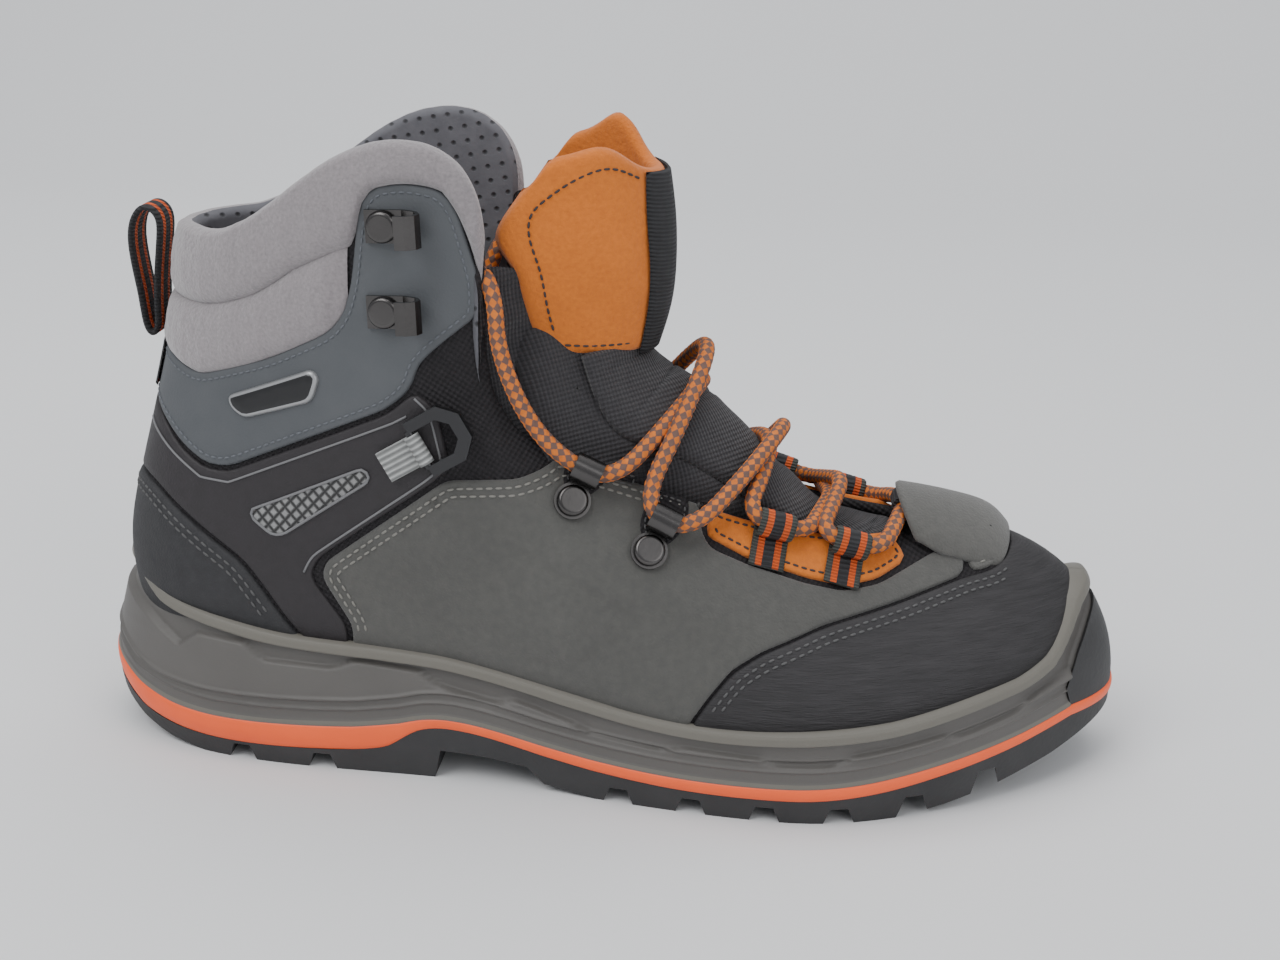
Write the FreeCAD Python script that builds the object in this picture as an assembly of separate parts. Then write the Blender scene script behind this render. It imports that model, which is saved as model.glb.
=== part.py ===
"""Mid-cut hiking boot for the right foot: sole unit, layered upper, tongue, lacing hardware and lace.

Row frame: +X to the toe, +Y to the inner side of the foot, +Z up. The origin is on the tread plane
under the centre of the heel. Outlines are written in last coordinates: millimetres from the back of
the heel and above the ground, at the nominal size, and last_x, last_z and half_width scale them.
"""
import FreeCAD
import Part
import math
import os

V = FreeCAD.Vector

# Driving dimensions, mm
SOLE_LENGTH = 307.5
SOLE_WIDTH = 110.0
COLLAR_HEIGHT = 182.5
HEEL_TO_ORIGIN = 50.0

# The size at which the outlines are written, mm
NOMINAL_LENGTH = 307.5
NOMINAL_WIDTH = 110.0
NOMINAL_HEIGHT = 182.5

# Layers of the upper, measured outwards from the lasted surface, mm
LINING_INNER = -3.4
LINING_OUTER = -1.9
STIFFENER_INNER = -1.8
STIFFENER_OUTER = -1.0
BASE_INNER = -0.9
OVERLAY_INNER = 0.1
OVERLAY_THICKNESS = 1.1
ROLL_THICKNESS = 3.2
LAYER_GAP = 0.1

# Sole unit, mm
BOARD_THICKNESS = 2.0
FOOTBED_THICKNESS = 5.0
CUP_CLEARANCE = 0.4
SHANK_LENGTH = 88.0
SHANK_WIDTH = 22.0
SHANK_THICKNESS = 1.2
SHANK_DEPTH = 1.8
SHANK_START = 62.0
LUG_GROOVE_WIDTH = 9.0
LUG_DRAFT = 2.0
LONG_GROOVE_WIDTH = 7.0

# Lacing hardware, mm
LACE_DIAMETER = 5.0
LACE_CLEARANCE = 0.5
ARC_SHARE = 0.45
PLATE_THICKNESS = 1.0
RIVET_HEAD_RADIUS = 4.4
RIVET_HEAD_HEIGHT = 1.8
RIVET_SHANK_RADIUS = 1.6
HOOK_WIDTH = 9.0
SADDLE_WIDTH = 8.0
SADDLE_NECK = 5.5
WASHER_RADIUS = 5.2
SADDLE_REACH = 8.8
WEB_WIDTH = 10.5
WEB_THICKNESS = 1.0
WEB_TAIL = 12.0
SEAT_LIFT = 0.35
AGLET_LENGTH = 22.0

# Ankle ring, mm
ANKLE_RING_SIZE = 17.0
ANKLE_RING_THICKNESS = 2.4
ANKLE_BAR_RADIUS = 1.2
HINGE_CLEARANCE = 0.08
ANKLE_WEB_WIDTH = 9.0
ANKLE_WEB_THICKNESS = 1.4
ANKLE_WEB_LENGTH = 12.0

# Heel loop, mm
HEEL_LOOP_WIDTH = 13.0
HEEL_LOOP_THICKNESS = 1.6

# Tongue and gusset, mm
TONGUE_THICKNESS = 5.0
GUSSET_THICKNESS = 1.2
TONGUE_BASE_THICKNESS = 1.9

# Rows of the lasted surface on the outer side, as (distance from the heel, height, half width).
# Each column runs from the insole edge over the welt line to the rim of the opening, and the
# columns run from the middle of the heel round to the middle of the toe.
COLUMNS = [
    [(6, 24, 0), (-1, 52, 0), (0.5, 72, 0), (7, 96, 0), (15, 127, 0), (19, 153, 0)],
    [(11, 24, 17), (6, 49, 19), (7, 70, 18), (12, 95, 15), (19, 126, 12.5), (24, 153.5, 13)],
    [(26, 24, 27), (24, 45.5, 30.5), (23, 67, 30), (26, 93, 26), (31, 125, 22.5), (36, 154.5, 23.5)],
    [(50, 24, 31), (50, 42, 35.5), (48, 64, 35.5), (47, 92, 32.5), (49, 127, 29.5), (52, 163, 30)],
    [(76, 24, 31.5), (76, 40.3, 36.5), (72, 63, 37), (69, 95, 36.5), (69, 133, 34), (70, 176, 34)],
    [(100, 23, 32), (100, 38.5, 37.5), (94, 62, 38), (89, 97, 39), (86, 138, 36.5), (88, 182.5, 36.5)],
    [(120, 21.5, 34), (120, 35.5, 39.5), (113, 59, 39.5), (105, 93, 39), (101, 133, 37), (105, 178, 36)],
    [(138, 19.5, 37), (138, 32, 42), (129, 56, 41), (118, 86, 38), (112, 121, 35), (113, 158, 33.5)],
    [(156, 17.5, 40.5), (156, 29, 45.5), (146, 52, 43.5), (134, 77, 38.5), (120, 103, 34), (112.5, 128, 33)],
    [(175, 16, 44), (175, 27.3, 48.5), (167, 48, 45.5), (155, 69, 39.5), (139, 88, 33), (126, 102, 30.5)],
    [(194, 15.5, 46), (195, 27.2, 50.5), (190, 45, 47), (180, 62, 39.5), (167, 77, 31.5), (156, 90, 26.5)],
    [(213, 16, 45.5), (215, 28.7, 50), (212, 43.5, 46), (205, 57.5, 37), (194, 69.5, 28), (185, 79.5, 22.5)],
    [(234, 18, 41), (237, 30.5, 45), (235.5, 43.5, 41), (229, 56, 32), (219.5, 66, 23.5), (211, 74, 17.5)],
    [(254, 21, 32.5), (258, 34.5, 36), (257, 46, 33), (249.5, 57.5, 25), (238, 66.5, 17.5), (226, 73, 12.5)],
    [(270, 26, 20), (275, 39, 23), (273.5, 49.5, 21), (264.5, 60.5, 15.5), (249.5, 69, 10.5), (233, 73.5, 7)],
    [(277, 30, 0), (284.5, 47, 0), (282, 56, 0), (270.5, 64.5, 0), (254, 71, 0), (236, 74.5, 0)],
]
ROWS = len(COLUMNS[0])
HALF = len(COLUMNS) - 1

# How far the foot's middle line bends to the inner side, at distances from the heel
BEND = [(-12, 0), (60, -1), (140, -3.5), (205, -2.5), (250, 2), (300, 8)]

# Sole outline: (distance from the heel, half width), and its levels: (height, heel, toe, growth)
SOLE_PLAN = [(-9.5, 0), (-7, 12), (2, 24.5), (20, 35), (45, 40.3), (75, 41.5), (105, 42), (135, 45.5),
             (165, 50.5), (190, 54), (212, 55), (235, 50.5), (257, 42), (273, 32.5), (285, 23.5),
             (293, 15), (297, 7), (298, 0)]
SOLE_LEVELS = [(-3, -5, 292, -3), (10, -8.5, 297, -0.5), (24, -9.5, 298, 0), (36, -7.5, 296.5, -0.8),
               (48, -4.5, 291.5, -2.5), (64, -1, 284, -5)]

# Side profiles of the sole's layers: (distance from the heel, height)
LIP_LINE = [(-12, 57), (-2, 55), (10, 48.5), (27, 45), (50, 41.8), (75, 40.3), (99, 38.7), (117, 36),
            (135, 32.6), (155, 29.3), (180, 27.3), (206, 28.3), (231, 30.2), (250, 33.6), (268, 37.2),
            (278, 41), (285, 47), (292, 54), (302, 60)]
FLOOR_LINE = [(-12, 25), (26, 24), (76, 24), (100, 23), (120, 21.5), (156, 17.5), (194, 15.5),
              (213, 16), (234, 18), (254, 21), (270, 26), (302, 36)]
ACCENT_TOP = [(-14, 27), (-9, 24.3), (-4, 21.5), (4, 17.6), (16, 14.6), (30, 13.4), (50, 13.5), (74, 14.8),
              (88, 17), (95, 18.8), (104, 19.2), (117, 17.5), (130, 15), (145, 12.8), (163, 11.2),
              (181, 10.6), (198, 10.8), (215, 11.6), (232, 13.6), (251, 16.8), (268, 20.2), (283, 24)]
ACCENT_BOTTOM = [(-14, 22.5), (-9, 19), (-4, 15.2), (4, 10.6), (16, 7.4), (30, 6.2), (50, 6.2), (74, 7.6),
                 (84, 10), (93, 15.6), (104, 17.2), (117, 15.4), (130, 12.7), (145, 10.3), (163, 8.4),
                 (181, 7.6), (198, 7.7), (215, 8.4), (232, 10.6), (251, 14), (268, 17.6), (283, 21.5)]
TREAD_LINE = [(-14, 20), (-5, 11), (4, 5.5), (14, 2), (26, 0), (98, 0), (100, 9.6), (112, 9.2),
              (126, 7.6), (131, 2.5), (146, 0), (232, 0), (246, 2.2), (262, 5.8), (278, 10.5), (304, 21)]
BUMPER_LINE = [(283, 24), (281, 30), (284, 39), (287.5, 46), (291, 51.5), (296, 56)]
GROOVES = [(39, 5), (64, 5), (153, 4.8), (174, 4.8), (195, 4.8), (216, 5), (237, 7), (258, 11.5)]

# Side outlines of the upper's panels: (distance from the heel, height)
UPPER_ROLL_OUTLINE = [(-20, 138), (10, 135.3), (19, 134.7), (35, 135.8), (47.6, 140.3), (59.6, 148.4),
                      (76.2, 156.5), (77.2, 161), (78.6, 168.6), (81.6, 173.6), (92, 175.6),
                      (103.4, 174), (107.6, 168), (113, 152), (118, 152), (118, 195), (-20, 195)]
LOWER_ROLL_OUTLINE = [(-20, 136.4), (10, 133.7), (19, 133.1), (35, 134.2), (48.4, 138.7), (60.4, 146.8),
                      (75.9, 154.4), (75.2, 146.4), (72.8, 138), (68.2, 132.7), (50.6, 123.8),
                      (28, 115.8), (17, 118.8), (12, 121.3), (-20, 128.3)]
CUFF_OUTLINE = [(-20, 127), (12, 120), (17, 117.5), (28, 114.5), (51, 122.5), (69, 131.5), (74, 137),
                (76.5, 146), (78.3, 160), (79.6, 168), (82.5, 172.6), (92, 174.4), (102.5, 172.8),
                (106.4, 167), (112.2, 146), (111.6, 139), (101.5, 131), (95, 125), (93.2, 118),
                (86.5, 112), (37, 89.5), (30, 89.6), (22, 94), (11, 103), (-20, 110)]
COUNTER_OUTLINE = [(-20, 78.5), (2, 79), (7, 81), (13.5, 79.5), (41, 62.5), (47, 55), (54.5, 44.5),
                   (60, 38), (60, 30), (-20, 30)]
REAR_OUTLINE = [(-20, 109), (10.5, 101.6), (21.5, 92.8), (29.5, 88.4), (37.4, 88.3), (87, 110.8),
                (94, 117.5), (100, 113), (104, 96.5), (99.5, 92), (63.8, 65.3), (62, 60), (72.5, 45.5),
                (72, 30), (62, 30), (61.6, 38), (55.5, 45), (48, 55.8), (41.8, 63.4), (14, 80.6), (7, 82.2),
                (-20, 79.7)]
VENT_OUTLINE = [(44.8, 78.4), (53.2, 82.2), (79, 94.4), (81.2, 92.8), (80.4, 90.5), (54.6, 72.2),
                (51.2, 71.8), (45.4, 76)]
LABEL_OUTLINE = [(38.3, 110.4), (64.6, 121.2), (67, 119), (64.6, 111.8), (43.4, 104.4), (39.2, 107)]
SUEDE_OUTLINE = [(65.5, 60), (66.5, 64.6), (99, 89.8), (103, 92.6), (122, 93), (129, 95.4), (135, 99.6),
                 (138, 101.4), (142, 101.4), (150.5, 96.6), (161, 90.6), (169.5, 88.2), (172, 85),
                 (173.4, 77.5), (176, 73.6), (187, 69), (203, 64), (214, 61.6), (224, 62.4), (240, 68.2),
                 (248.5, 69.6), (249, 63), (230, 58.6), (208, 54.6), (192, 49), (184, 44), (178, 36),
                 (172.5, 27), (172, 20), (74, 30), (74, 46)]
TOE_CAP_OUTLINE = [(173.3, 20), (173.3, 26.8), (178.6, 35.6), (184.6, 43.4), (192.4, 48.4), (208.3, 54),
                   (230.2, 58), (249.4, 62.4), (257, 63), (261.5, 65), (263, 67.5), (262.4, 70), (259, 76),
                   (310, 76), (310, 20)]
TOE_VAMP_OUTLINE = [(249.6, 63.2), (256.6, 63.8), (260.8, 65.6), (262, 67.6), (261.4, 70), (258, 80),
                    (236, 80), (243, 74.4), (249.6, 71)]
STAY_OUTLINE = [(174.6, 76.6), (187.5, 70.2), (203.4, 65.2), (214.2, 62.8), (223.6, 63.6), (232, 67),
                (229, 71), (221, 74.6), (208, 77), (190, 84.5), (177, 90)]
COUNTER_STIFFENER_OUTLINE = [(-20, 30), (-20, 88), (20, 84), (52, 60), (66, 45), (66, 30)]
TOE_PUFF_OUTLINE = [(244, 20), (238, 50), (250, 68), (258, 80), (310, 80), (310, 20)]

# Upper tongue: centre of its front (distance from the heel, height) and wings (with half width)
TONGUE_CENTRE = [(156.5, 124), (160, 137), (161, 150), (160.4, 163), (158.5, 176)]
TONGUE_WINGS = [(127, 124.5, 22), (121.5, 138, 24.5), (118.5, 151, 26.5), (114.5, 165, 27.5), (122, 181, 27)]
TONGUE_STRIP_SPAN = 0.33
TONGUE_STRIP_THICKNESS = 1.2

# Gusset stations: distance and height of its middle, then distance, height and half width of its edge
GUSSET = [(231, 67.5, 230, 66.0, 5.0), (221, 69.2, 219, 66.6, 12.0), (206, 74.2, 203, 68.4, 16.0),
          (187, 92.4, 181, 73.2, 20.0), (168.5, 109.6, 155, 83.2, 23.8), (160, 114.6, 134, 91.5, 26.5)]
TONGUE_BASE_SPAN = 0.62

# Hardware places: (distance from the heel, height)
HOOKS = [(86.5, 162.6), (86.5, 139.2)]
HOOK_DIRECTION = (1.0, 0.05)
SADDLES = [(137.2, 86.6), (159.2, 73.6)]
SADDLE_DIRECTION = (0.42, 0.91)
WEB_LOOPS = [(192.6, 76.2), (214.2, 70.2)]
WEB_DIRECTION = (0.28, 0.96)
TOE_LOOP = (231.8, 78.0)
TOE_LOOP_TAIL = [(233, 81.1), (237, 78.6), (243, 76.6), (250, 75.0), (257, 73.2), (257, 74.2),
                 (250, 76.0), (243, 77.7), (238, 79.6), (233, 82.2)]
ANKLE_RING_HINGE = (96.0, 102.0)
ANKLE_RING_DIRECTION = (0.857, 0.515)
HEEL_LOOP_OUTLINE = [(8.1, 121.4), (6.3, 124.2), (5.2, 133), (3.4, 147), (4.8, 155.6), (8.4, 158.6),
                     (11.8, 155.8), (11.7, 148), (10.1, 134), (9.7, 124.2)]
HEEL_TAB_OUTLINE = [(-20, 105), (-20, 119), (40, 119), (40, 105)]
CROSSINGS = [((210.0, 80.2), (213.2, 85.4)), ((191.8, 98.6), (196.2, 102.6)), ((172.6, 116.2), (174.0, 127.5))]
TAIL = [(124, 112, -36.5), (117, 130, -37.0), (116, 144, -35.0), (111, 151, -28.5), (104, 142, -25.5),
        (101, 118, -26.5), (101, 96, -27.5)]

def last_x(x):
    """A distance from the heel, in the row frame."""
    return x * SOLE_LENGTH / NOMINAL_LENGTH - HEEL_TO_ORIGIN


def last_z(z):
    """A height above the ground, in the row frame."""
    return z * COLLAR_HEIGHT / NOMINAL_HEIGHT


def half_width(h):
    """A half width at the size that is set."""
    return h * SOLE_WIDTH / NOMINAL_WIDTH


class Spline:
    """Natural cubic spline through points at the knots 0, 1, 2 and so on."""

    def __init__(self, points):
        self.points = points
        n = len(points)
        self.dim = len(points[0])
        self.second = [[0.0] * self.dim for _ in range(n)]
        scale = [0.0] * n
        right = [[0.0] * self.dim for _ in range(n)]
        for i in range(1, n - 1):
            pivot = 4.0 - scale[i - 1]
            scale[i] = 1.0 / pivot
            for k in range(self.dim):
                bend = 6.0 * (points[i + 1][k] - 2.0 * points[i][k] + points[i - 1][k])
                right[i][k] = (bend - right[i - 1][k]) / pivot
        for i in range(n - 2, 0, -1):
            for k in range(self.dim):
                self.second[i][k] = right[i][k] - scale[i] * self.second[i + 1][k]

    def at(self, t):
        i = max(0, min(len(self.points) - 2, int(math.floor(t))))
        b = t - i
        a = 1.0 - b
        p, q = self.points[i], self.points[i + 1]
        m, n = self.second[i], self.second[i + 1]
        return [a * p[k] + b * q[k] + ((a ** 3 - a) * m[k] + (b ** 3 - b) * n[k]) / 6.0
                for k in range(self.dim)]


BEND_SPLINE = Spline([(y,) for _, y in BEND])


def middle(x):
    """Where the foot's middle line is at a distance from the heel, in the row frame."""
    xs = [p[0] for p in BEND]
    x = max(xs[0], min(xs[-1], x))
    i = max(k for k in range(len(xs) - 1) if xs[k] <= x)
    return half_width(BEND_SPLINE.at(i + (x - xs[i]) / (xs[i + 1] - xs[i]))[0])


def place(x, z, y):
    """A point from its distance from the heel, height and signed half width (outer side negative)."""
    return V(last_x(x), middle(x) + half_width(y), last_z(z))


class Lasted:
    """The lasted surface: u runs round the boot from the heel by the outer side, v up to the rim."""

    def __init__(self):
        self.rows = [Spline(column) for column in COLUMNS]
        self.overlap = 4

    def ring(self, v):
        """The closed spline round the boot at v."""
        outer = [row.at(v) for row in self.rows]
        outer = [(x, z, -h) for x, z, h in outer]
        inner = [(x, z, -h) for x, z, h in reversed(outer[1:-1])]
        closed = outer + inner
        n = self.overlap
        return Spline(closed[-n:] + closed + closed[:n + 1])

    def grid(self, us, vs, off):
        """Points at each u and v, moved outwards by off."""
        step = 0.02
        rows = []
        for v in vs:
            here, below, above = self.ring(v), self.ring(v - step), self.ring(v + step)
            line = []
            for u in us:
                t = u + self.overlap
                p = self.raw(here, t)
                du = self.raw(here, t + step) - self.raw(here, t - step)
                dv = self.raw(above, t) - self.raw(below, t)
                n = du.cross(dv)
                n.normalize()
                line.append(p + n * off)
            if us[-1] - us[0] == 2 * HALF:
                line[-1] = line[0]
            rows.append(line)
        return [list(column) for column in zip(*rows)]

    @staticmethod
    def raw(ring, t):
        x, z, y = ring.at(t)
        return place(x, z, y)

    def on_side(self, x, z, side=-1):
        """The point, outward normal and (u, v) where the surface shows at a distance and a height."""
        goal = V(last_x(x), 0, last_z(z))
        us = [0.25 * i for i in range(4 * HALF + 1)]
        vs = [0.25 * j for j in range(4 * (ROWS - 1) + 1)]
        grid = self.grid(us, vs, 0.0)

        def miss(p):
            return math.hypot(p.x - goal.x, p.z - goal.z)

        _, i, j = min((miss(grid[i][j]), i, j) for i in range(len(us)) for j in range(len(vs)))
        u, v = us[i], vs[j]
        span = 0.125
        while span > 0.0005:
            best = min((miss(self.grid([a], [b], 0.0)[0][0]), a, b)
                       for a in (u - span, u, u + span)
                       for b in (max(0, v - span), v, min(ROWS - 1, v + span)))
            if (best[1], best[2]) == (u, v):
                span /= 2
            u, v = best[1], best[2]
        around = u if side < 0 else 2 * HALF - u
        p = self.grid([around], [v], 0.0)[0][0]
        q = self.grid([around], [v], 1.0)[0][0]
        return p, q - p


LASTED = Lasted()


def spline_surface(grid):
    surface = Part.BSplineSurface()
    surface.interpolate(grid)
    return surface


def solid_from(faces):
    """A closed solid from faces that meet along their edges."""
    shell = Part.makeShell(faces)
    shell.sewShape()
    solid = Part.makeSolid(shell)
    if solid.Volume < 0:
        solid.reverse()
    return solid


def layer(low, high, v_low=0.0, v_high=ROWS - 1.0, parts=3):
    """The part of the upper between two distances from the lasted surface, made of patches."""
    count = 12
    us = [0.5 * i for i in range(4 * HALF + 1)]
    vs = [v_low + (v_high - v_low) * j / count for j in range(count + 1)]
    pair = [spline_surface(LASTED.grid(us, vs, off)) for off in (low, high)]
    faces = []
    for k in range(parts):
        pieces = []
        for surface in pair:
            u0, u1, v0, v1 = surface.bounds()
            piece = surface.copy()
            piece.segment(u0 + (u1 - u0) * k / parts, u0 + (u1 - u0) * (k + 1) / parts, v0, v1)
            pieces.append(piece)
        faces += [piece.toShape() for piece in pieces]
        for end in (2, 3):
            inner, outer = [piece.vIso(piece.bounds()[end]).toShape() for piece in pieces]
            faces.append(Part.makeRuledSurface(inner, outer, 1))
    return solid_from(faces)


def form(off, v_low):
    """Everything inside the surface at a distance from the lasted surface, above its lower row."""
    us = [0.5 * i for i in range(4 * HALF + 1)]
    vs = [v_low + (ROWS - 1.0 - v_low) * j / 12 for j in range(13)]
    surface = spline_surface(LASTED.grid(us, vs, off))
    u0, u1, v0, v1 = surface.bounds()
    middle_u = (u0 + u1) / 2
    pieces = [surface.copy(), surface.copy()]
    pieces[0].segment(u0, middle_u, v0, v1)
    pieces[1].segment(middle_u, u1, v0, v1)
    faces = [piece.toShape() for piece in pieces]
    for end in (2, 3):
        near, far = [piece.vIso(piece.bounds()[end]).toShape() for piece in pieces]
        faces.append(Part.makeRuledSurface(near, far, 2))
    return solid_from(faces)


def sheet_solid(front, back):
    """A closed solid between two open grids of the same size."""
    pair = [spline_surface(front), spline_surface(back)]
    faces = [s.toShape() for s in pair]
    for end in (0, 1):
        near, far = [s.uIso(s.bounds()[end]).toShape() for s in pair]
        faces.append(Part.makeRuledSurface(near, far, 1))
    for end in (2, 3):
        near, far = [s.vIso(s.bounds()[end]).toShape() for s in pair]
        faces.append(Part.makeRuledSurface(near, far, 1))
    return solid_from(faces)


def polygon_face(points):
    return Part.Face(Part.makePolygon(points + points[:1]))


def side_prism(outline, y_low=-90.0, y_high=90.0):
    """A side outline, extruded across the boot."""
    face = polygon_face([V(last_x(x), y_low, last_z(z)) for x, z in outline])
    return face.extrude(V(0, y_high - y_low, 0))


def smooth_line(points):
    curve = Part.BSplineCurve()
    curve.interpolate([V(last_x(x), -90, last_z(z)) for x, z in points])
    return curve.toShape()


def band(top, bottom, flat_bottom=False):
    """The space between two side profiles, across the boot."""
    upper = smooth_line(top)
    if flat_bottom:
        low = [V(last_x(x), -90, last_z(z)) for x, z in bottom]
        lower = Part.makePolygon(low).Edges
    else:
        lower = [smooth_line(bottom)]
    ends = []
    for (x, z), (a, b) in ((top[0], bottom[0]), (top[-1], bottom[-1])):
        ends.append(Part.makeLine(V(last_x(x), -90, last_z(z)), V(last_x(a), -90, last_z(b))))
    wire = Part.Wire(Part.__sortEdges__([upper] + lower + ends))
    return Part.Face(wire).extrude(V(0, 180, 0))


def raised(line, dz):
    return [(x, z + dz) for x, z in line]


def one_solid(shape):
    """The largest solid of a boolean's result."""
    return max(shape.Solids, key=lambda s: s.Volume)


def panel(walls, outline, side=0):
    """The piece of a layer inside a side outline, on one side of the boot or round both."""
    low, high = {0: (-90.0, 90.0), -1: (-90.0, 0.0), 1: (0.0, 90.0)}[side]
    return one_solid(walls.common(side_prism(outline, low, high)))


def seat(x, z, direction, side):
    """A frame on the upper: the surface point, along the direction, across it and outwards."""
    point, normal = LASTED.on_side(x, z, side)
    along = V(direction[0], 0, direction[1])
    along = along - normal * along.dot(normal)
    along.normalize()
    return point, along, normal.cross(along), normal


def block(frame, along, across, out):
    """A box in a seat's frame, from three (low, high) pairs."""
    point, a, c, n = frame
    base = [(along[0], across[0]), (along[1], across[0]), (along[1], across[1]), (along[0], across[1])]
    face = polygon_face([point + a * p + c * q + n * out[0] for p, q in base])
    return face.extrude(n * (out[1] - out[0]))


def profile(frame, outline, width):
    """An outline of (along, out) in a seat's frame, extruded to both sides across it."""
    point, a, c, n = frame
    face = polygon_face([point + a * p + n * q - c * (width / 2) for p, q in outline])
    return face.extrude(c * width)


def tube(centre, axis, length, outer, inner):
    start = centre - axis * (length / 2)
    body = Part.makeCylinder(outer, length, start, axis)
    return body.cut(Part.makeCylinder(inner, length, start, axis))


# Sole unit

def sole_loft():
    wires = []
    first, last = SOLE_PLAN[0][0], SOLE_PLAN[-1][0]
    for z, heel, toe, growth in SOLE_LEVELS:
        outer = []
        for x, h in SOLE_PLAN:
            at = heel + (x - first) * (toe - heel) / (last - first)
            outer.append((at, max(0.0, h + growth * min(1.0, h / 20.0))))
        points = [place(x, z, -h) for x, h in outer]
        points += [place(x, z, h) for x, h in reversed(outer[1:-1])]
        curve = Part.BSplineCurve()
        curve.interpolate(points, True)
        wires.append(Part.Wire(curve.toShape()))
    return Part.makeLoft(wires, True, False)


def groove(x, depth):
    """A transverse gap between lugs, wider at the tread."""
    half, draft = LUG_GROOVE_WIDTH / 2, LUG_DRAFT
    points = [(x - half - draft, -6), (x + half + draft, -6), (x + half - draft, depth), (x - half + draft, depth)]
    return side_prism(points)


def long_groove(y, x0, x1, depth):
    half = LONG_GROOVE_WIDTH / 2
    corners = [(y - half - 1, -6), (y + half + 1, -6), (y + half - 1, depth), (y - half + 1, depth)]
    face = polygon_face([V(last_x(x0), half_width(a), last_z(b)) for a, b in corners])
    return face.extrude(V(last_x(x1) - last_x(x0), 0, 0))


def sole_parts():
    body = sole_loft()
    bumper = side_prism(BUMPER_LINE + [(320, 56), (320, 27.6), (304, 21), (283, 12.5)])
    tread = body.common(band(ACCENT_BOTTOM, TREAD_LINE, True))
    outsole = tread.fuse(body.common(bumper))
    for x, depth in GROOVES:
        outsole = outsole.cut(groove(x, depth))
    for y in (-15, 15):
        outsole = outsole.cut(long_groove(y, -20, 92, 5))
        outsole = outsole.cut(long_groove(y, 136, 262, 5))
    accent = body.common(band(ACCENT_TOP, ACCENT_BOTTOM)).cut(bumper)
    cup = form(OVERLAY_INNER + OVERLAY_THICKNESS + CUP_CLEARANCE, -0.06)
    midsole = body.common(band(LIP_LINE, ACCENT_TOP)).cut(bumper).cut(cup)
    pocket_top = raised(FLOOR_LINE, -SHANK_DEPTH)
    pocket_end = SHANK_START + SHANK_LENGTH
    reach = side_prism([(SHANK_START, 0), (pocket_end, 0), (pocket_end, 60), (SHANK_START, 60)],
                       -SHANK_WIDTH / 2, SHANK_WIDTH / 2)
    shank = band(pocket_top, raised(pocket_top, -SHANK_THICKNESS)).common(reach)
    room = band(raised(pocket_top, LAYER_GAP), raised(pocket_top, -SHANK_THICKNESS - LAYER_GAP))
    wide = side_prism([(SHANK_START - LAYER_GAP, 0), (pocket_end + LAYER_GAP, 0),
                       (pocket_end + LAYER_GAP, 60), (SHANK_START - LAYER_GAP, 60)],
                      -SHANK_WIDTH / 2 - LAYER_GAP, SHANK_WIDTH / 2 + LAYER_GAP)
    midsole = midsole.cut(room.common(wide))
    inside = form(LINING_INNER - LAYER_GAP, -0.05)
    board_top = raised(FLOOR_LINE, BOARD_THICKNESS)
    board = inside.common(band(board_top, raised(FLOOR_LINE, LAYER_GAP)))
    bed_low = raised(board_top, LAYER_GAP)
    footbed = inside.common(band(raised(bed_low, FOOTBED_THICKNESS), bed_low))
    return {"outsole": outsole, "midsole_accent": one_solid(accent), "midsole": one_solid(midsole),
            "shank": one_solid(shank), "lasting_board": one_solid(board), "footbed": one_solid(footbed)}


# Upper

def upper_parts():
    low, high = OVERLAY_INNER, OVERLAY_INNER + OVERLAY_THICKNESS
    overlay = layer(low, high)
    padding = layer(low, low + ROLL_THICKNESS)
    stiff = layer(STIFFENER_INNER, STIFFENER_OUTER)
    second = layer(high + LAYER_GAP, high + LAYER_GAP + 0.8)
    mesh = layer(low, low + 0.7)
    loops = panel(layer(high + LAYER_GAP, high + LAYER_GAP + 1.0), HEEL_TAB_OUTLINE)
    tab = loops.common(Part.makeBox(80, HEEL_LOOP_WIDTH, 60, V(last_x(-20), -HEEL_LOOP_WIDTH / 2, last_z(95))))
    pieces = {"upper_base": layer(BASE_INNER, 0.0),
              "lining": layer(LINING_INNER, LINING_OUTER, parts=4),
              "heel_counter_stiffener": panel(stiff, COUNTER_STIFFENER_OUTLINE),
              "toe_puff": panel(stiff, TOE_PUFF_OUTLINE),
              "collar_upper_roll": panel(padding, UPPER_ROLL_OUTLINE),
              "collar_lower_roll": panel(padding, LOWER_ROLL_OUTLINE),
              "cuff_overlay": panel(overlay, CUFF_OUTLINE),
              "heel_counter_cover": panel(overlay, COUNTER_OUTLINE),
              "rear_quarter": panel(overlay, REAR_OUTLINE),
              "toe_cap": panel(overlay, TOE_CAP_OUTLINE),
              "toe_vamp": panel(overlay, TOE_VAMP_OUTLINE),
              "label_plate": panel(second, LABEL_OUTLINE, -1),
              "heel_tab": one_solid(tab)}
    for name, side in (("lateral", -1), ("medial", 1)):
        pieces["quarter_" + name] = panel(overlay, SUEDE_OUTLINE, side)
        pieces["vent_mesh_" + name] = panel(mesh, VENT_OUTLINE, side)
        pieces["lace_stay_" + name] = panel(overlay, STAY_OUTLINE, side)
    window = side_prism(grown(VENT_OUTLINE, 0.6))
    pieces["rear_quarter"] = one_solid(pieces["rear_quarter"].cut(window))
    return pieces


def grown(outline, by):
    """An outline moved outwards from its centre by about the given distance."""
    cx = sum(x for x, _ in outline) / len(outline)
    cz = sum(z for _, z in outline) / len(outline)
    out = []
    for x, z in outline:
        reach = math.hypot(x - cx, z - cz)
        out.append((x + (x - cx) * by / reach, z + (z - cz) * by / reach))
    return out


# Tongue and gusset

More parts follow.
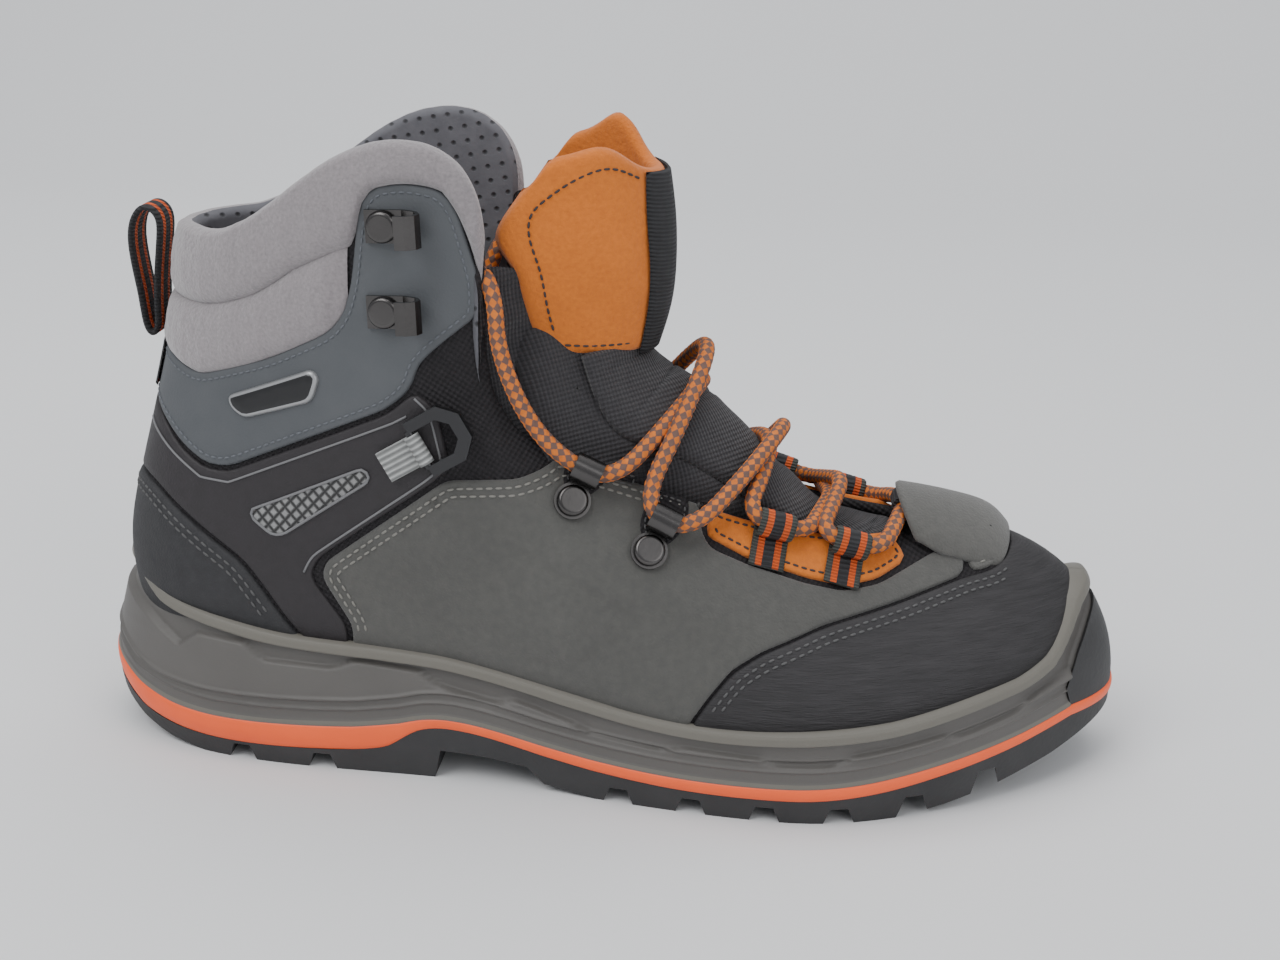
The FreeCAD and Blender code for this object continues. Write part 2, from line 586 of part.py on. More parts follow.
def arc_grid(stations, inset, span=1.0):
    """Rows of an arched sheet: each station gives its middle, its edge and its half width."""
    count = 12
    shaped = Spline([tuple(s) for s in stations])
    rows = []
    steps = 3 * (len(stations) - 1)
    for k in range(steps + 1):
        cx, cz, ex, ez, half = shaped.at(k * (len(stations) - 1) / steps)
        line = []
        for i in range(count + 1):
            s = span * (2.0 * i / count - 1.0)
            bow = math.cos(s * math.pi / 2)
            x, z = ex + (cx - ex) * bow, ez + (cz - ez) * bow
            line.append((x, z, half * math.sin(s * math.pi / 2)))
        rows.append(line)
    points = [[place(*p) for p in line] for line in rows]
    return shift_grid(points, inset)


def shift_grid(points, by):
    """The grid moved along its own normals."""
    moved = []
    for i, line in enumerate(points):
        row = []
        for j, p in enumerate(line):
            a = points[min(i + 1, len(points) - 1)][j] - points[max(i - 1, 0)][j]
            b = line[min(j + 1, len(line) - 1)] - line[max(j - 1, 0)]
            n = a.cross(b)
            n.normalize()
            row.append(p + n * by)
        moved.append(row)
    return moved


def tongue_parts():
    stations = [(c[0], c[1], w[0], w[1], w[2]) for c, w in zip(TONGUE_CENTRE, TONGUE_WINGS)]
    top = sheet_solid(arc_grid(stations, 0.0), arc_grid(stations, TONGUE_THICKNESS))
    strip = sheet_solid(arc_grid(stations, -LAYER_GAP, TONGUE_STRIP_SPAN),
                        arc_grid(stations, -LAYER_GAP - TONGUE_STRIP_THICKNESS, TONGUE_STRIP_SPAN))
    stations = [tuple(s) for s in GUSSET]
    gusset = sheet_solid(arc_grid(stations, 0.0), arc_grid(stations, -GUSSET_THICKNESS))
    low = GUSSET_THICKNESS + LAYER_GAP
    base = sheet_solid(arc_grid(stations, -low, TONGUE_BASE_SPAN),
                       arc_grid(stations, -low - TONGUE_BASE_THICKNESS, TONGUE_BASE_SPAN))
    return {"tongue_top": top, "tongue_strip": strip, "gusset": gusset, "tongue_base": base}


# Hardware

def hook_parts():
    hooks, rivets = [], []
    floor = OVERLAY_INNER + OVERLAY_THICKNESS + LAYER_GAP
    t = PLATE_THICKNESS
    curl = [(-5, 0), (6, 0), (10.5, 2.5), (12.5, 6), (12, 9), (9.5, 10.6), (6.5, 10.4), (6.5, 9.4),
            (9.2, 9.5), (11, 8.4), (11.4, 6.2), (9.8, 3.3), (5.6, 1), (-5, 1)]
    for x, z in HOOKS:
        for side in (-1, 1):
            point, a, c, n = seat(x, z, HOOK_DIRECTION, side)
            base = (point + n * floor, a, c, n)
            hook = profile(base, [(p, q * t) for p, q in curl], HOOK_WIDTH)
            hooks.append(hook.cut(Part.makeCylinder(RIVET_SHANK_RADIUS + 0.1, 6, base[0] - n * 2, n)))
            head = Part.makeCylinder(RIVET_HEAD_RADIUS, RIVET_HEAD_HEIGHT, base[0] + n * (t + LAYER_GAP), n)
            rivets.append(rounded_head(head, n))
    return Part.makeCompound(hooks), Part.makeCompound(rivets)


def rounded_head(head, n):
    """A rivet head with its outer rim rounded."""
    top = max(head.Edges, key=lambda e: e.CenterOfMass.dot(n) if e.Closed else -1e9)
    return head.makeFillet(min(1.2, RIVET_HEAD_HEIGHT - 0.3), [top])


def saddle_parts():
    """The riveted lace rings: a plate under a rivet that ends in a bridge the lace runs under."""
    rings, rivets, eyes = [], [], []
    floor = OVERLAY_INNER + OVERLAY_THICKNESS + LAYER_GAP + SEAT_LIFT
    inner = LACE_DIAMETER / 2 + LACE_CLEARANCE
    outer = inner + PLATE_THICKNESS
    for x, z in SADDLES:
        for side in (-1, 1):
            point, a, c, n = seat(x, z, SADDLE_DIRECTION, side)
            base = (point + n * floor, a, c, n)
            plate = block(base, (0, SADDLE_REACH), (-SADDLE_NECK / 2, SADDLE_NECK / 2), (0, PLATE_THICKNESS))
            plate = plate.fuse(Part.makeCylinder(WASHER_RADIUS, PLATE_THICKNESS, base[0], n))
            centre = base[0] + a * SADDLE_REACH + n * outer
            plate = plate.fuse(tube(centre, c, SADDLE_WIDTH, outer, inner))
            plate = plate.cut(Part.makeCylinder(inner, 40, centre - c * 20, c))
            plate = plate.cut(Part.makeCylinder(RIVET_SHANK_RADIUS + 0.1, 6, base[0] - n * 2, n))
            rings.append(one_solid(plate))
            head = Part.makeCylinder(RIVET_HEAD_RADIUS, RIVET_HEAD_HEIGHT,
                                     base[0] + n * (PLATE_THICKNESS + LAYER_GAP), n)
            rivets.append(rounded_head(head, n))
            eyes.append((centre, c, side))
    return Part.makeCompound(rings), Part.makeCompound(rivets), eyes


def web_parts():
    """The webbing lace loops: a tail on the upper and a tube the lace runs through."""
    loops, eyes = [], []
    inner = LACE_DIAMETER / 2 + LACE_CLEARANCE
    outer = inner + WEB_THICKNESS
    floor = OVERLAY_INNER + OVERLAY_THICKNESS + LAYER_GAP + SEAT_LIFT
    for x, z in WEB_LOOPS:
        for side in (-1, 1):
            point, a, c, n = seat(x, z, WEB_DIRECTION, side)
            base = (point + n * floor, a, c, n)
            centre = base[0] + n * outer
            tail = block(base, (-WEB_TAIL, 0), (-WEB_WIDTH / 2, WEB_WIDTH / 2), (0, WEB_THICKNESS))
            loop = tube(centre, c, WEB_WIDTH, outer, inner).fuse(tail)
            loops.append(one_solid(loop.cut(Part.makeCylinder(inner, 40, centre - c * 20, c))))
            eyes.append((centre, c, side))
    return Part.makeCompound(loops), eyes


def toe_loop_part():
    x, z = TOE_LOOP
    inner = LACE_DIAMETER / 2 + LACE_CLEARANCE
    centre = place(x, z, 0)
    loop = tube(centre, V(0, 1, 0), WEB_WIDTH, inner + WEB_THICKNESS, inner)
    tail = side_prism(TOE_LOOP_TAIL, centre.y - WEB_WIDTH / 2, centre.y + WEB_WIDTH / 2)
    loop = loop.fuse(tail).cut(Part.makeCylinder(inner, 40, centre - V(0, 20, 0), V(0, 1, 0)))
    return one_solid(loop), centre


def ankle_parts(side):
    """A tipping ring and the webbing that holds its bar."""
    x, z = ANKLE_RING_HINGE
    point, a, c, n = seat(x, z, ANKLE_RING_DIRECTION, side)
    hold = ANKLE_BAR_RADIUS + HINGE_CLEARANCE
    outer = hold + 0.9
    lift = OVERLAY_INNER + OVERLAY_THICKNESS + LAYER_GAP + outer + 0.1
    pin = point + n * lift
    frame = (pin, a, c, n)
    half, s = ANKLE_RING_THICKNESS / 2, ANKLE_RING_SIZE
    outline = [(0, -s * 0.5), (s * 0.62, -s * 0.5), (s * 0.9, -s * 0.22), (s * 0.9, s * 0.22),
               (s * 0.62, s * 0.5), (0, s * 0.5)]
    hole = [(ANKLE_BAR_RADIUS, -s * 0.31), (s * 0.5, -s * 0.31), (s * 0.68, -s * 0.14),
            (s * 0.68, s * 0.14), (s * 0.5, s * 0.31), (ANKLE_BAR_RADIUS, s * 0.31)]

    def plate(points, thick):
        face = polygon_face([pin + a * p + c * q - n * (thick / 2) for p, q in points])
        return face.extrude(n * thick)

    ring = plate(outline, 2 * half).cut(plate(hole, 8))
    slot = plate([(-4, -s * 0.31), (ANKLE_BAR_RADIUS + 0.02, -s * 0.31), (ANKLE_BAR_RADIUS + 0.02, s * 0.31),
                  (-4, s * 0.31)], 8)
    bar = Part.makeCylinder(ANKLE_BAR_RADIUS, s * 0.7, pin - c * (s * 0.35), c)
    ring = ring.cut(slot).fuse(bar)
    width = min(ANKLE_WEB_WIDTH, s * 0.58)
    wrap = tube(pin, c, width, outer, hold)
    tail = block(frame, (-ANKLE_WEB_LENGTH, 0), (-width / 2, width / 2), (-outer, -outer + ANKLE_WEB_THICKNESS))
    tail = tail.cut(Part.makeCylinder(hold + 0.3, 30, pin - c * 15, c))
    return one_solid(ring), one_solid(wrap.fuse(tail)), (pin, c)


def heel_loop_part():
    half = HEEL_LOOP_THICKNESS / 2
    points = [V(last_x(x), 0, last_z(z)) for x, z in HEEL_LOOP_OUTLINE]
    curve = Part.BSplineCurve()
    curve.interpolate(points, True)
    count = 44
    rims = ([], [])
    for i in range(count):
        t = curve.FirstParameter + (curve.LastParameter - curve.FirstParameter) * i / count
        tangent = curve.tangent(t)[0]
        side = V(-tangent.z, 0, tangent.x)
        for rim, by in zip(rims, (half, -half)):
            rim.append(curve.value(t) + side * by - V(0, HEEL_LOOP_WIDTH / 2, 0))
    solids = [polygon_face(rim).extrude(V(0, HEEL_LOOP_WIDTH, 0)) for rim in rims]
    solids.sort(key=lambda solid: abs(solid.Volume))
    return one_solid(solids[1].cut(solids[0]))


# Lace

def rounded_path(points):
    """Straight runs joined by tangent arcs, and the arcs' radii."""
    edges, radii = [], []
    at = points[0]
    for before, corner, after in zip(points, points[1:], points[2:]):
        d0, d1 = corner - before, after - corner
        cut = ARC_SHARE * min(d0.Length, d1.Length)
        d0.normalize()
        d1.normalize()
        turn = d0.getAngle(d1)
        if turn < 0.02:
            continue
        r = cut / math.tan(turn / 2)
        start, end = corner - d0 * cut, corner + d1 * cut
        bisector = d1 - d0
        bisector.normalize()
        centre = corner + bisector * (r / math.cos(turn / 2))
        to_corner = corner - centre
        to_corner.normalize()
        if (start - at).Length > 1e-3:
            edges.append(Part.makeLine(at, start))
        edges.append(Part.Arc(start, centre + to_corner * r, end).toShape())
        at = end
        radii.append(r)
    edges.append(Part.makeLine(at, points[-1]))
    return Part.Wire(edges), radii


def clear_of(point, grid, clearance):
    """The point pushed out so that it stands clear of an arched sheet's outer face."""
    best = None
    for i in range(1, len(grid) - 1):
        for j in range(1, len(grid[0]) - 1):
            reach = (point - grid[i][j]).Length
            if best is None or reach < best[0]:
                best = (reach, i, j)
    _, i, j = best
    n = (grid[i + 1][j] - grid[i - 1][j]).cross(grid[i][j + 1] - grid[i][j - 1])
    n.normalize()
    if n.z < 0:
        n = n * -1.0
    height = (point - grid[i][j]).dot(n)
    return point + n * max(0.0, clearance - height)


def lace_route(side, eyes_web, eyes_saddle, toe_centre):
    """The lace from the toe loop to its end inside the shaft, starting towards the given side."""
    first = [e for e in eyes_web if e[2] == side][1]
    second = [e for e in eyes_web if e[2] == -side][0]
    third = [e for e in eyes_saddle if e[2] == side][1]
    fourth = [e for e in eyes_saddle if e[2] == -side][0]
    over = 1 if side < 0 else 0
    outer_face = arc_grid([tuple(s) for s in GUSSET], -(GUSSET_THICKNESS + LAYER_GAP + TONGUE_BASE_THICKNESS))
    clearance = LACE_DIAMETER / 2 + 0.6 + over * 2.5
    points = [toe_centre, toe_centre + V(-2.0, side * (WEB_WIDTH / 2 + 4.5), -0.6)]
    for k, (centre, axis, where) in enumerate((first, second, third, fourth)):
        ahead = axis if axis.x > 0 else -axis
        reach = WEB_WIDTH / 2 + 4.0 if k < 2 else SADDLE_WIDTH / 2 + 4.0
        start, end = centre + ahead * reach, centre - ahead * reach
        if k > 0:
            points.append(clear_of((points[-1] + start) * 0.5, outer_face, clearance))
        points += [start, end]
        if k < 3:
            x, z = CROSSINGS[k][over]
            cross = place(x, z, 0)
            points.append(clear_of((end + cross) * 0.5, outer_face, clearance))
            points.append(cross)
    points += [place(x, z, (-side) * abs(y)) for x, z, y in TAIL]
    return points


def lace_part(points):
    wire, radii = rounded_path(points)
    start = wire.Edges[0].firstVertex().Point
    direction = points[1] - points[0]
    ring = Part.Wire(Part.makeCircle(LACE_DIAMETER / 2, start, direction))
    return wire.makePipeShell([ring], True, True, 1), radii, wire.Length


def write_parts():
    os.makedirs("parts", exist_ok=True)
    nodes = sole_parts()
    nodes.update(upper_parts())
    nodes.update(tongue_parts())
    nodes["lace_hooks"], nodes["hook_rivets"] = hook_parts()
    nodes["lace_rings"], nodes["ring_rivets"], saddles = saddle_parts()
    nodes["webbing_lace_loops"], webs = web_parts()
    nodes["toe_lace_loop"], toe_centre = toe_loop_part()
    for name, side in (("lateral", -1), ("medial", 1)):
        ring, webbing, (pin, axis) = ankle_parts(side)
        nodes["ankle_ring_" + name] = ring
        nodes["ankle_webbing_" + name] = webbing
        print("ankle ring", name, "pin", pin, "axis", axis)
    nodes["heel_pull_loop"] = heel_loop_part()
    for name, side in (("outer", -1), ("inner", 1)):
        points = lace_route(side, webs, saddles, toe_centre)
        lace, radii, length = lace_part(points)
        nodes["lace_" + name] = lace
        ahead = points[-1] - points[-2]
        ahead.normalize()
        nodes["aglet_" + name] = Part.makeCylinder(LACE_DIAMETER / 2 - 0.3, AGLET_LENGTH,
                                                   points[-1] + ahead * 0.1, ahead)
        print("lace", name, "length", round(length, 1), "arc radii", [round(r, 1) for r in radii])
        print("lace", name, "route", [tuple(round(q, 2) for q in p) for p in points])
    for name, shape in nodes.items():
        shape.exportStep("parts/" + name + ".step")
        box = shape.BoundBox
        print(name, shape.isValid(), len(shape.Solids), round(shape.Volume),
              [round(q, 1) for q in (box.XMin, box.XMax, box.YMin, box.YMax, box.ZMin, box.ZMax)])


write_parts()
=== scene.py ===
import math
import bpy
import bmesh
import numpy as np
from mathutils import Matrix, Vector
from mathutils.geometry import delaunay_2d_cdt


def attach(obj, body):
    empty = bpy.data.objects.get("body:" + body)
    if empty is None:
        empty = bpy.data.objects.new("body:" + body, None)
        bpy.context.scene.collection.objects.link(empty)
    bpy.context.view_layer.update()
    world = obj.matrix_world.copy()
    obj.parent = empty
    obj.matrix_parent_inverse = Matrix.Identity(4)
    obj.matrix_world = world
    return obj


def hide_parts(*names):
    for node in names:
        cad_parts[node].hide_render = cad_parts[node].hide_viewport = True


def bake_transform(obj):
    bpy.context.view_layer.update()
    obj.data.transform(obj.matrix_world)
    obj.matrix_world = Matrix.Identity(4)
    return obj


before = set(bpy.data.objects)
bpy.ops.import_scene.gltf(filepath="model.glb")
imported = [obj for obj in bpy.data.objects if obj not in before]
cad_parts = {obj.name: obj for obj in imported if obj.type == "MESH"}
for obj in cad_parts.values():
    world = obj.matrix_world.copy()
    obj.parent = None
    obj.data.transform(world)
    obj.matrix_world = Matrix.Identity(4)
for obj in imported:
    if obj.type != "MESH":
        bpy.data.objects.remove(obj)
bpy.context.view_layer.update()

HEEL = 50.0          # mm from the back of the heel to the origin
SIDES = ((-1, "lateral"), (1, "medial"))


# ------------------------------------------------------------------ lasted surface

COLUMNS = [
    [(6, 24, 0), (-1, 52, 0), (0.5, 72, 0), (7, 96, 0), (15, 127, 0), (19, 153, 0)],
    [(11, 24, 17), (6, 49, 19), (7, 70, 18), (12, 95, 15), (19, 126, 12.5), (24, 153.5, 13)],
    [(26, 24, 27), (24, 45.5, 30.5), (23, 67, 30), (26, 93, 26), (31, 125, 22.5), (36, 154.5, 23.5)],
    [(50, 24, 31), (50, 42, 35.5), (48, 64, 35.5), (47, 92, 32.5), (49, 127, 29.5), (52, 163, 30)],
    [(76, 24, 31.5), (76, 40.3, 36.5), (72, 63, 37), (69, 95, 36.5), (69, 133, 34), (70, 176, 34)],
    [(100, 23, 32), (100, 38.5, 37.5), (94, 62, 38), (89, 97, 39), (86, 138, 36.5), (88, 182.5, 36.5)],
    [(120, 21.5, 34), (120, 35.5, 39.5), (113, 59, 39.5), (105, 93, 39), (101, 133, 37), (105, 178, 36)],
    [(138, 19.5, 37), (138, 32, 42), (129, 56, 41), (118, 86, 38), (112, 121, 35), (113, 158, 33.5)],
    [(156, 17.5, 40.5), (156, 29, 45.5), (146, 52, 43.5), (134, 77, 38.5), (120, 103, 34), (112.5, 128, 33)],
    [(175, 16, 44), (175, 27.3, 48.5), (167, 48, 45.5), (155, 69, 39.5), (139, 88, 33), (126, 102, 30.5)],
    [(194, 15.5, 46), (195, 27.2, 50.5), (190, 45, 47), (180, 62, 39.5), (167, 77, 31.5), (156, 90, 26.5)],
    [(213, 16, 45.5), (215, 28.7, 50), (212, 43.5, 46), (205, 57.5, 37), (194, 69.5, 28), (185, 79.5, 22.5)],
    [(234, 18, 41), (237, 30.5, 45), (235.5, 43.5, 41), (229, 56, 32), (219.5, 66, 23.5), (211, 74, 17.5)],
    [(254, 21, 32.5), (258, 34.5, 36), (257, 46, 33), (249.5, 57.5, 25), (238, 66.5, 17.5), (226, 73, 12.5)],
    [(270, 26, 20), (275, 39, 23), (273.5, 49.5, 21), (264.5, 60.5, 15.5), (249.5, 69, 10.5), (233, 73.5, 7)],
    [(277, 30, 0), (284.5, 47, 0), (282, 56, 0), (270.5, 64.5, 0), (254, 71, 0), (236, 74.5, 0)],
]
HALF = len(COLUMNS) - 1
ROWS = len(COLUMNS[0])
TOP = ROWS - 1.0
BEND = np.array([(-12, 0), (60, -1), (140, -3.5), (205, -2.5), (250, 2), (300, 8)], float)


def spline_matrix(n):
    """Rows give the second derivatives of a natural cubic spline from its points."""
    a = np.zeros((n, n))
    b = np.zeros((n, n))
    a[0, 0] = a[-1, -1] = 1
    for i in range(1, n - 1):
        a[i, i - 1:i + 2] = (1, 4, 1)
        b[i, i - 1:i + 2] = (6, -12, 6)
    return np.linalg.solve(a, b)


_mats = {}


def weights(t, n):
    """Weights of the n points for a natural cubic spline at each t."""
    if n not in _mats:
        _mats[n] = spline_matrix(n)
    t = np.asarray(t, float)
    i = np.clip(np.floor(t).astype(int), 0, n - 2)
    b = t - i
    a = 1 - b
    w = np.zeros((len(t), n))
    k = np.arange(len(t))
    w[k, i] += a
    w[k, i + 1] += b
    w += ((a ** 3 - a)[:, None] * _mats[n][i] + (b ** 3 - b)[:, None] * _mats[n][i + 1]) / 6
    return w


def spline(points, t):
    p = np.asarray(points, float)
    return weights(t, len(p)) @ p


def middle(x):
    x = np.clip(np.asarray(x, float), BEND[0, 0], BEND[-1, 0])
    i = np.clip(np.searchsorted(BEND[:, 0], x, side="right") - 1, 0, len(BEND) - 2)
    t = i + (x - BEND[i, 0]) / (BEND[i + 1, 0] - BEND[i, 0])
    return spline(BEND[:, 1:], t)[:, 0]


_lat = np.array(COLUMNS, float)
_lat_side = _lat * (1, 1, -1)
_ring = np.concatenate([_lat_side, _lat[-2:0:-1]])
OVER = 4
_ring = np.concatenate([_ring[-OVER:], _ring, _ring[:OVER + 1]])


def last_surface(u, v):
    """Last coordinates (distance, height, signed half width) at u round the boot and v up it."""
    u = np.mod(np.asarray(u, float), 2 * HALF)
    wu = weights(u + OVER, len(_ring))
    wv = weights(v, ROWS)
    return np.einsum("ni,nj,ijk->nk", wu, wv, _ring, optimize=True)


def to_row(p):
    """Row-frame points in mm from last coordinates."""
    return np.stack([p[:, 0] - HEEL, middle(p[:, 0]) + p[:, 2], p[:, 1]], 1)


def surface(u, v):
    return to_row(last_surface(u, v))


def frames(u, v, step=0.02):
    """Points, unit normals and the two tangents at each (u, v)."""
    u = np.asarray(u, float)
    v = np.asarray(v, float)
    p = surface(u, v)
    du = (surface(u + step, v) - surface(u - step, v)) / (2 * step)
    dv = (surface(u, v + step) - surface(u, v - step)) / (2 * step)
    n = np.cross(du, dv)
    n /= np.linalg.norm(n, axis=1)[:, None] + 1e-12
    return p, n, du, dv


_tu, _tv = np.meshgrid(np.linspace(0, HALF, 16 * HALF + 1), np.linspace(0, TOP, 81), indexing="ij")
_tu, _tv = _tu.ravel(), _tv.ravel()
_txz = last_surface(_tu, _tv)[:, :2]


def side_uv(points):
    """(u, v) on the outer side where the surface shows at each side-view (distance, height)."""
    out = []
    for x, z in points:
        if x == "heel":
            vs = np.linspace(0, TOP, 401)
            out.append((0.0, vs[np.argmin(abs(last_surface(0 * vs, vs)[:, 1] - z))]))
            continue
        if x == "toe":
            vs = np.linspace(TOP / 2, TOP, 401)
            out.append((float(HALF), vs[np.argmin(abs(last_surface(0 * vs + HALF, vs)[:, 0] - z))]))
            continue
        if x in ("heel_row", "toe_row"):
            out.append((0.0 if x == "heel_row" else float(HALF), z))
            continue
        k = np.argmin((_txz[:, 0] - x) ** 2 + (_txz[:, 1] - z) ** 2)
        u, v = _tu[k], _tv[k]
        for _ in range(6):
            s = 0.01
            q = last_surface([u, u + s, u], [v, v, v + s])[:, :2]
            jac = np.array([(q[1] - q[0]) / s, (q[2] - q[0]) / s]).T
            step = np.linalg.lstsq(jac, np.array([x, z]) - q[0], rcond=1e-3)[0]
            u = min(max(u + np.clip(step[0], -0.3, 0.3), 0), HALF)
            v = min(max(v + np.clip(step[1], -0.3, 0.3), 0), TOP)
        out.append((u, v))
    return np.array(out)


# ------------------------------------------------------------------ curves

def round_corners(points, radius, closed=True, steps=5):
    """The polyline with each corner replaced by an arc-like curve that starts radius away."""
    p = np.asarray(points, float)
    n = len(p)
    out = []
    for i in range(n):
        if not closed and i in (0, n - 1):
            out.append(p[i])
            continue
        a, b, c = p[i - 1], p[i], p[(i + 1) % n]
        la, lc = np.linalg.norm(a - b), np.linalg.norm(c - b)
        r = min(radius, 0.48 * la, 0.48 * lc)
        s, e = b + (a - b) / la * r, b + (c - b) / lc * r
        for t in np.linspace(0, 1, steps):
            out.append((1 - t) ** 2 * s + 2 * t * (1 - t) * b + t * t * e)
    return np.array(out)


def resample(points, spacing, closed=False):
    p = np.asarray(points, float)
    if closed:
        p = np.vstack([p, p[:1]])
    keep = np.r_[True, np.linalg.norm(np.diff(p, axis=0), axis=1) > 1e-6]
    p = p[keep]
    s = np.r_[0, np.cumsum(np.linalg.norm(np.diff(p, axis=0), axis=1))]
    n = max(3, int(round(s[-1] / spacing)))
    t = np.linspace(0, s[-1], n + 1)
    q = np.stack([np.interp(t, s, p[:, k]) for k in range(p.shape[1])], 1)
    return q[:-1] if closed else q


def smooth_open(points, spacing):
    """A smooth curve through the points."""
    p = np.asarray(points, float)
    d = np.r_[0, np.cumsum(np.linalg.norm(np.diff(p, axis=0), axis=1))]
    dense = spline(p, np.interp(np.linspace(0, d[-1], 40 * len(p)), d, np.arange(len(p))))
    return resample(dense, spacing)


# ------------------------------------------------------------------ meshes

def new_object(name, verts, faces, material=None, smooth=True, tint=None):
    """A mesh object from points in mm in the row frame."""
    mesh = bpy.data.meshes.new(name)
    mesh.from_pydata((np.asarray(verts, float) * 0.001).tolist(), [], [list(map(int, f)) for f in faces])
    mesh.validate()
    if smooth:
        mesh.polygons.foreach_set("use_smooth", [True] * len(mesh.polygons))
    if tint is not None:
        layer = mesh.attributes.new("tint", "FLOAT", "POINT")
        layer.data.foreach_set("value", np.asarray(tint, np.float32))
    if material is not None:
        mesh.materials.append(material)
    obj = bpy.data.objects.new(name, mesh)
    bpy.context.scene.collection.objects.link(obj)
    return obj


def grid_faces(rows, cols, close_rows=False, close_cols=False, flip=False):
    """Quads over a rows by cols grid of points."""
    faces = []
    for i in range(rows if close_rows else rows - 1):
        for j in range(cols if close_cols else cols - 1):
            a = i * cols + j
            b = i * cols + (j + 1) % cols
            c = ((i + 1) % rows) * cols + (j + 1) % cols
            d = ((i + 1) % rows) * cols + j
            faces.append((a, d, c, b) if flip else (a, b, c, d))
    return faces


def inside(poly, pts):
    """Which points lie inside a closed polygon."""
    x, y = pts[:, 0], pts[:, 1]
    res = np.zeros(len(pts), bool)
    for (x0, y0), (x1, y1) in zip(poly, np.roll(poly, -1, axis=0)):
        hit = (y0 > y) != (y1 > y)
        cut = (x1 - x0) * (y - y0) / ((y1 - y0) if y1 != y0 else 1e-12) + x0
        res ^= hit & (x < cut)
    return res


def border_distance(poly, pts):
    """Distance of each point from a closed polygon."""
    a, b = poly, np.roll(poly, -1, axis=0)
    best = np.full(len(pts), 1e9)
    for p, q in zip(a, b):
        d = q - p
        t = np.clip(((pts - p) @ d) / max(d @ d, 1e-12), 0, 1)
        best = np.minimum(best, np.linalg.norm(pts - (p + t[:, None] * d), axis=1))
    return best


class Patch:
    """A piece of the surface inside an outline, flattened with the local scale of the surface."""

    def __init__(self, outline_uv):
        self.uv = np.asarray(outline_uv, float)
        mid = self.uv.mean(0)
        _, _, du, dv = frames([mid[0]], [mid[1]])
        self.scale = np.array([np.linalg.norm(du), np.linalg.norm(dv)])

    def inset(self, d):
        """The outline moved inwards by d mm, measured on the surface."""
        uv = self.uv
        area = 0.5 * np.sum(uv[:, 0] * np.roll(uv[:, 1], -1) - np.roll(uv[:, 0], -1) * uv[:, 1])
        p, n, du, dv = frames(uv[:, 0], uv[:, 1])
        along = np.roll(p, -1, axis=0) - np.roll(p, 1, axis=0)
        along /= np.linalg.norm(along, axis=1)[:, None] + 1e-12
        inward = np.cross(n, along) * (1 if area > 0 else -1)
        g11 = np.einsum("ij,ij->i", du, du)
        g12 = np.einsum("ij,ij->i", du, dv)
        g22 = np.einsum("ij,ij->i", dv, dv)
        bu = np.einsum("ij,ij->i", inward, du)
        bv = np.einsum("ij,ij->i", inward, dv)
        det = g11 * g22 - g12 ** 2
        step = np.stack([(g22 * bu - g12 * bv) / det, (g11 * bv - g12 * bu) / det], 1)
        return uv + step * d


SKIRT = 0.4          # mm that a panel's edge goes below its base


def weld(obj, dist):
    """Joins points closer than dist metres and turns every face outwards."""
    bm = bmesh.new()
    bm.from_mesh(obj.data)
    bmesh.ops.remove_doubles(bm, verts=bm.verts, dist=dist)
    bmesh.ops.recalc_face_normals(bm, faces=bm.faces)
    bm.to_mesh(obj.data)
    bm.free()


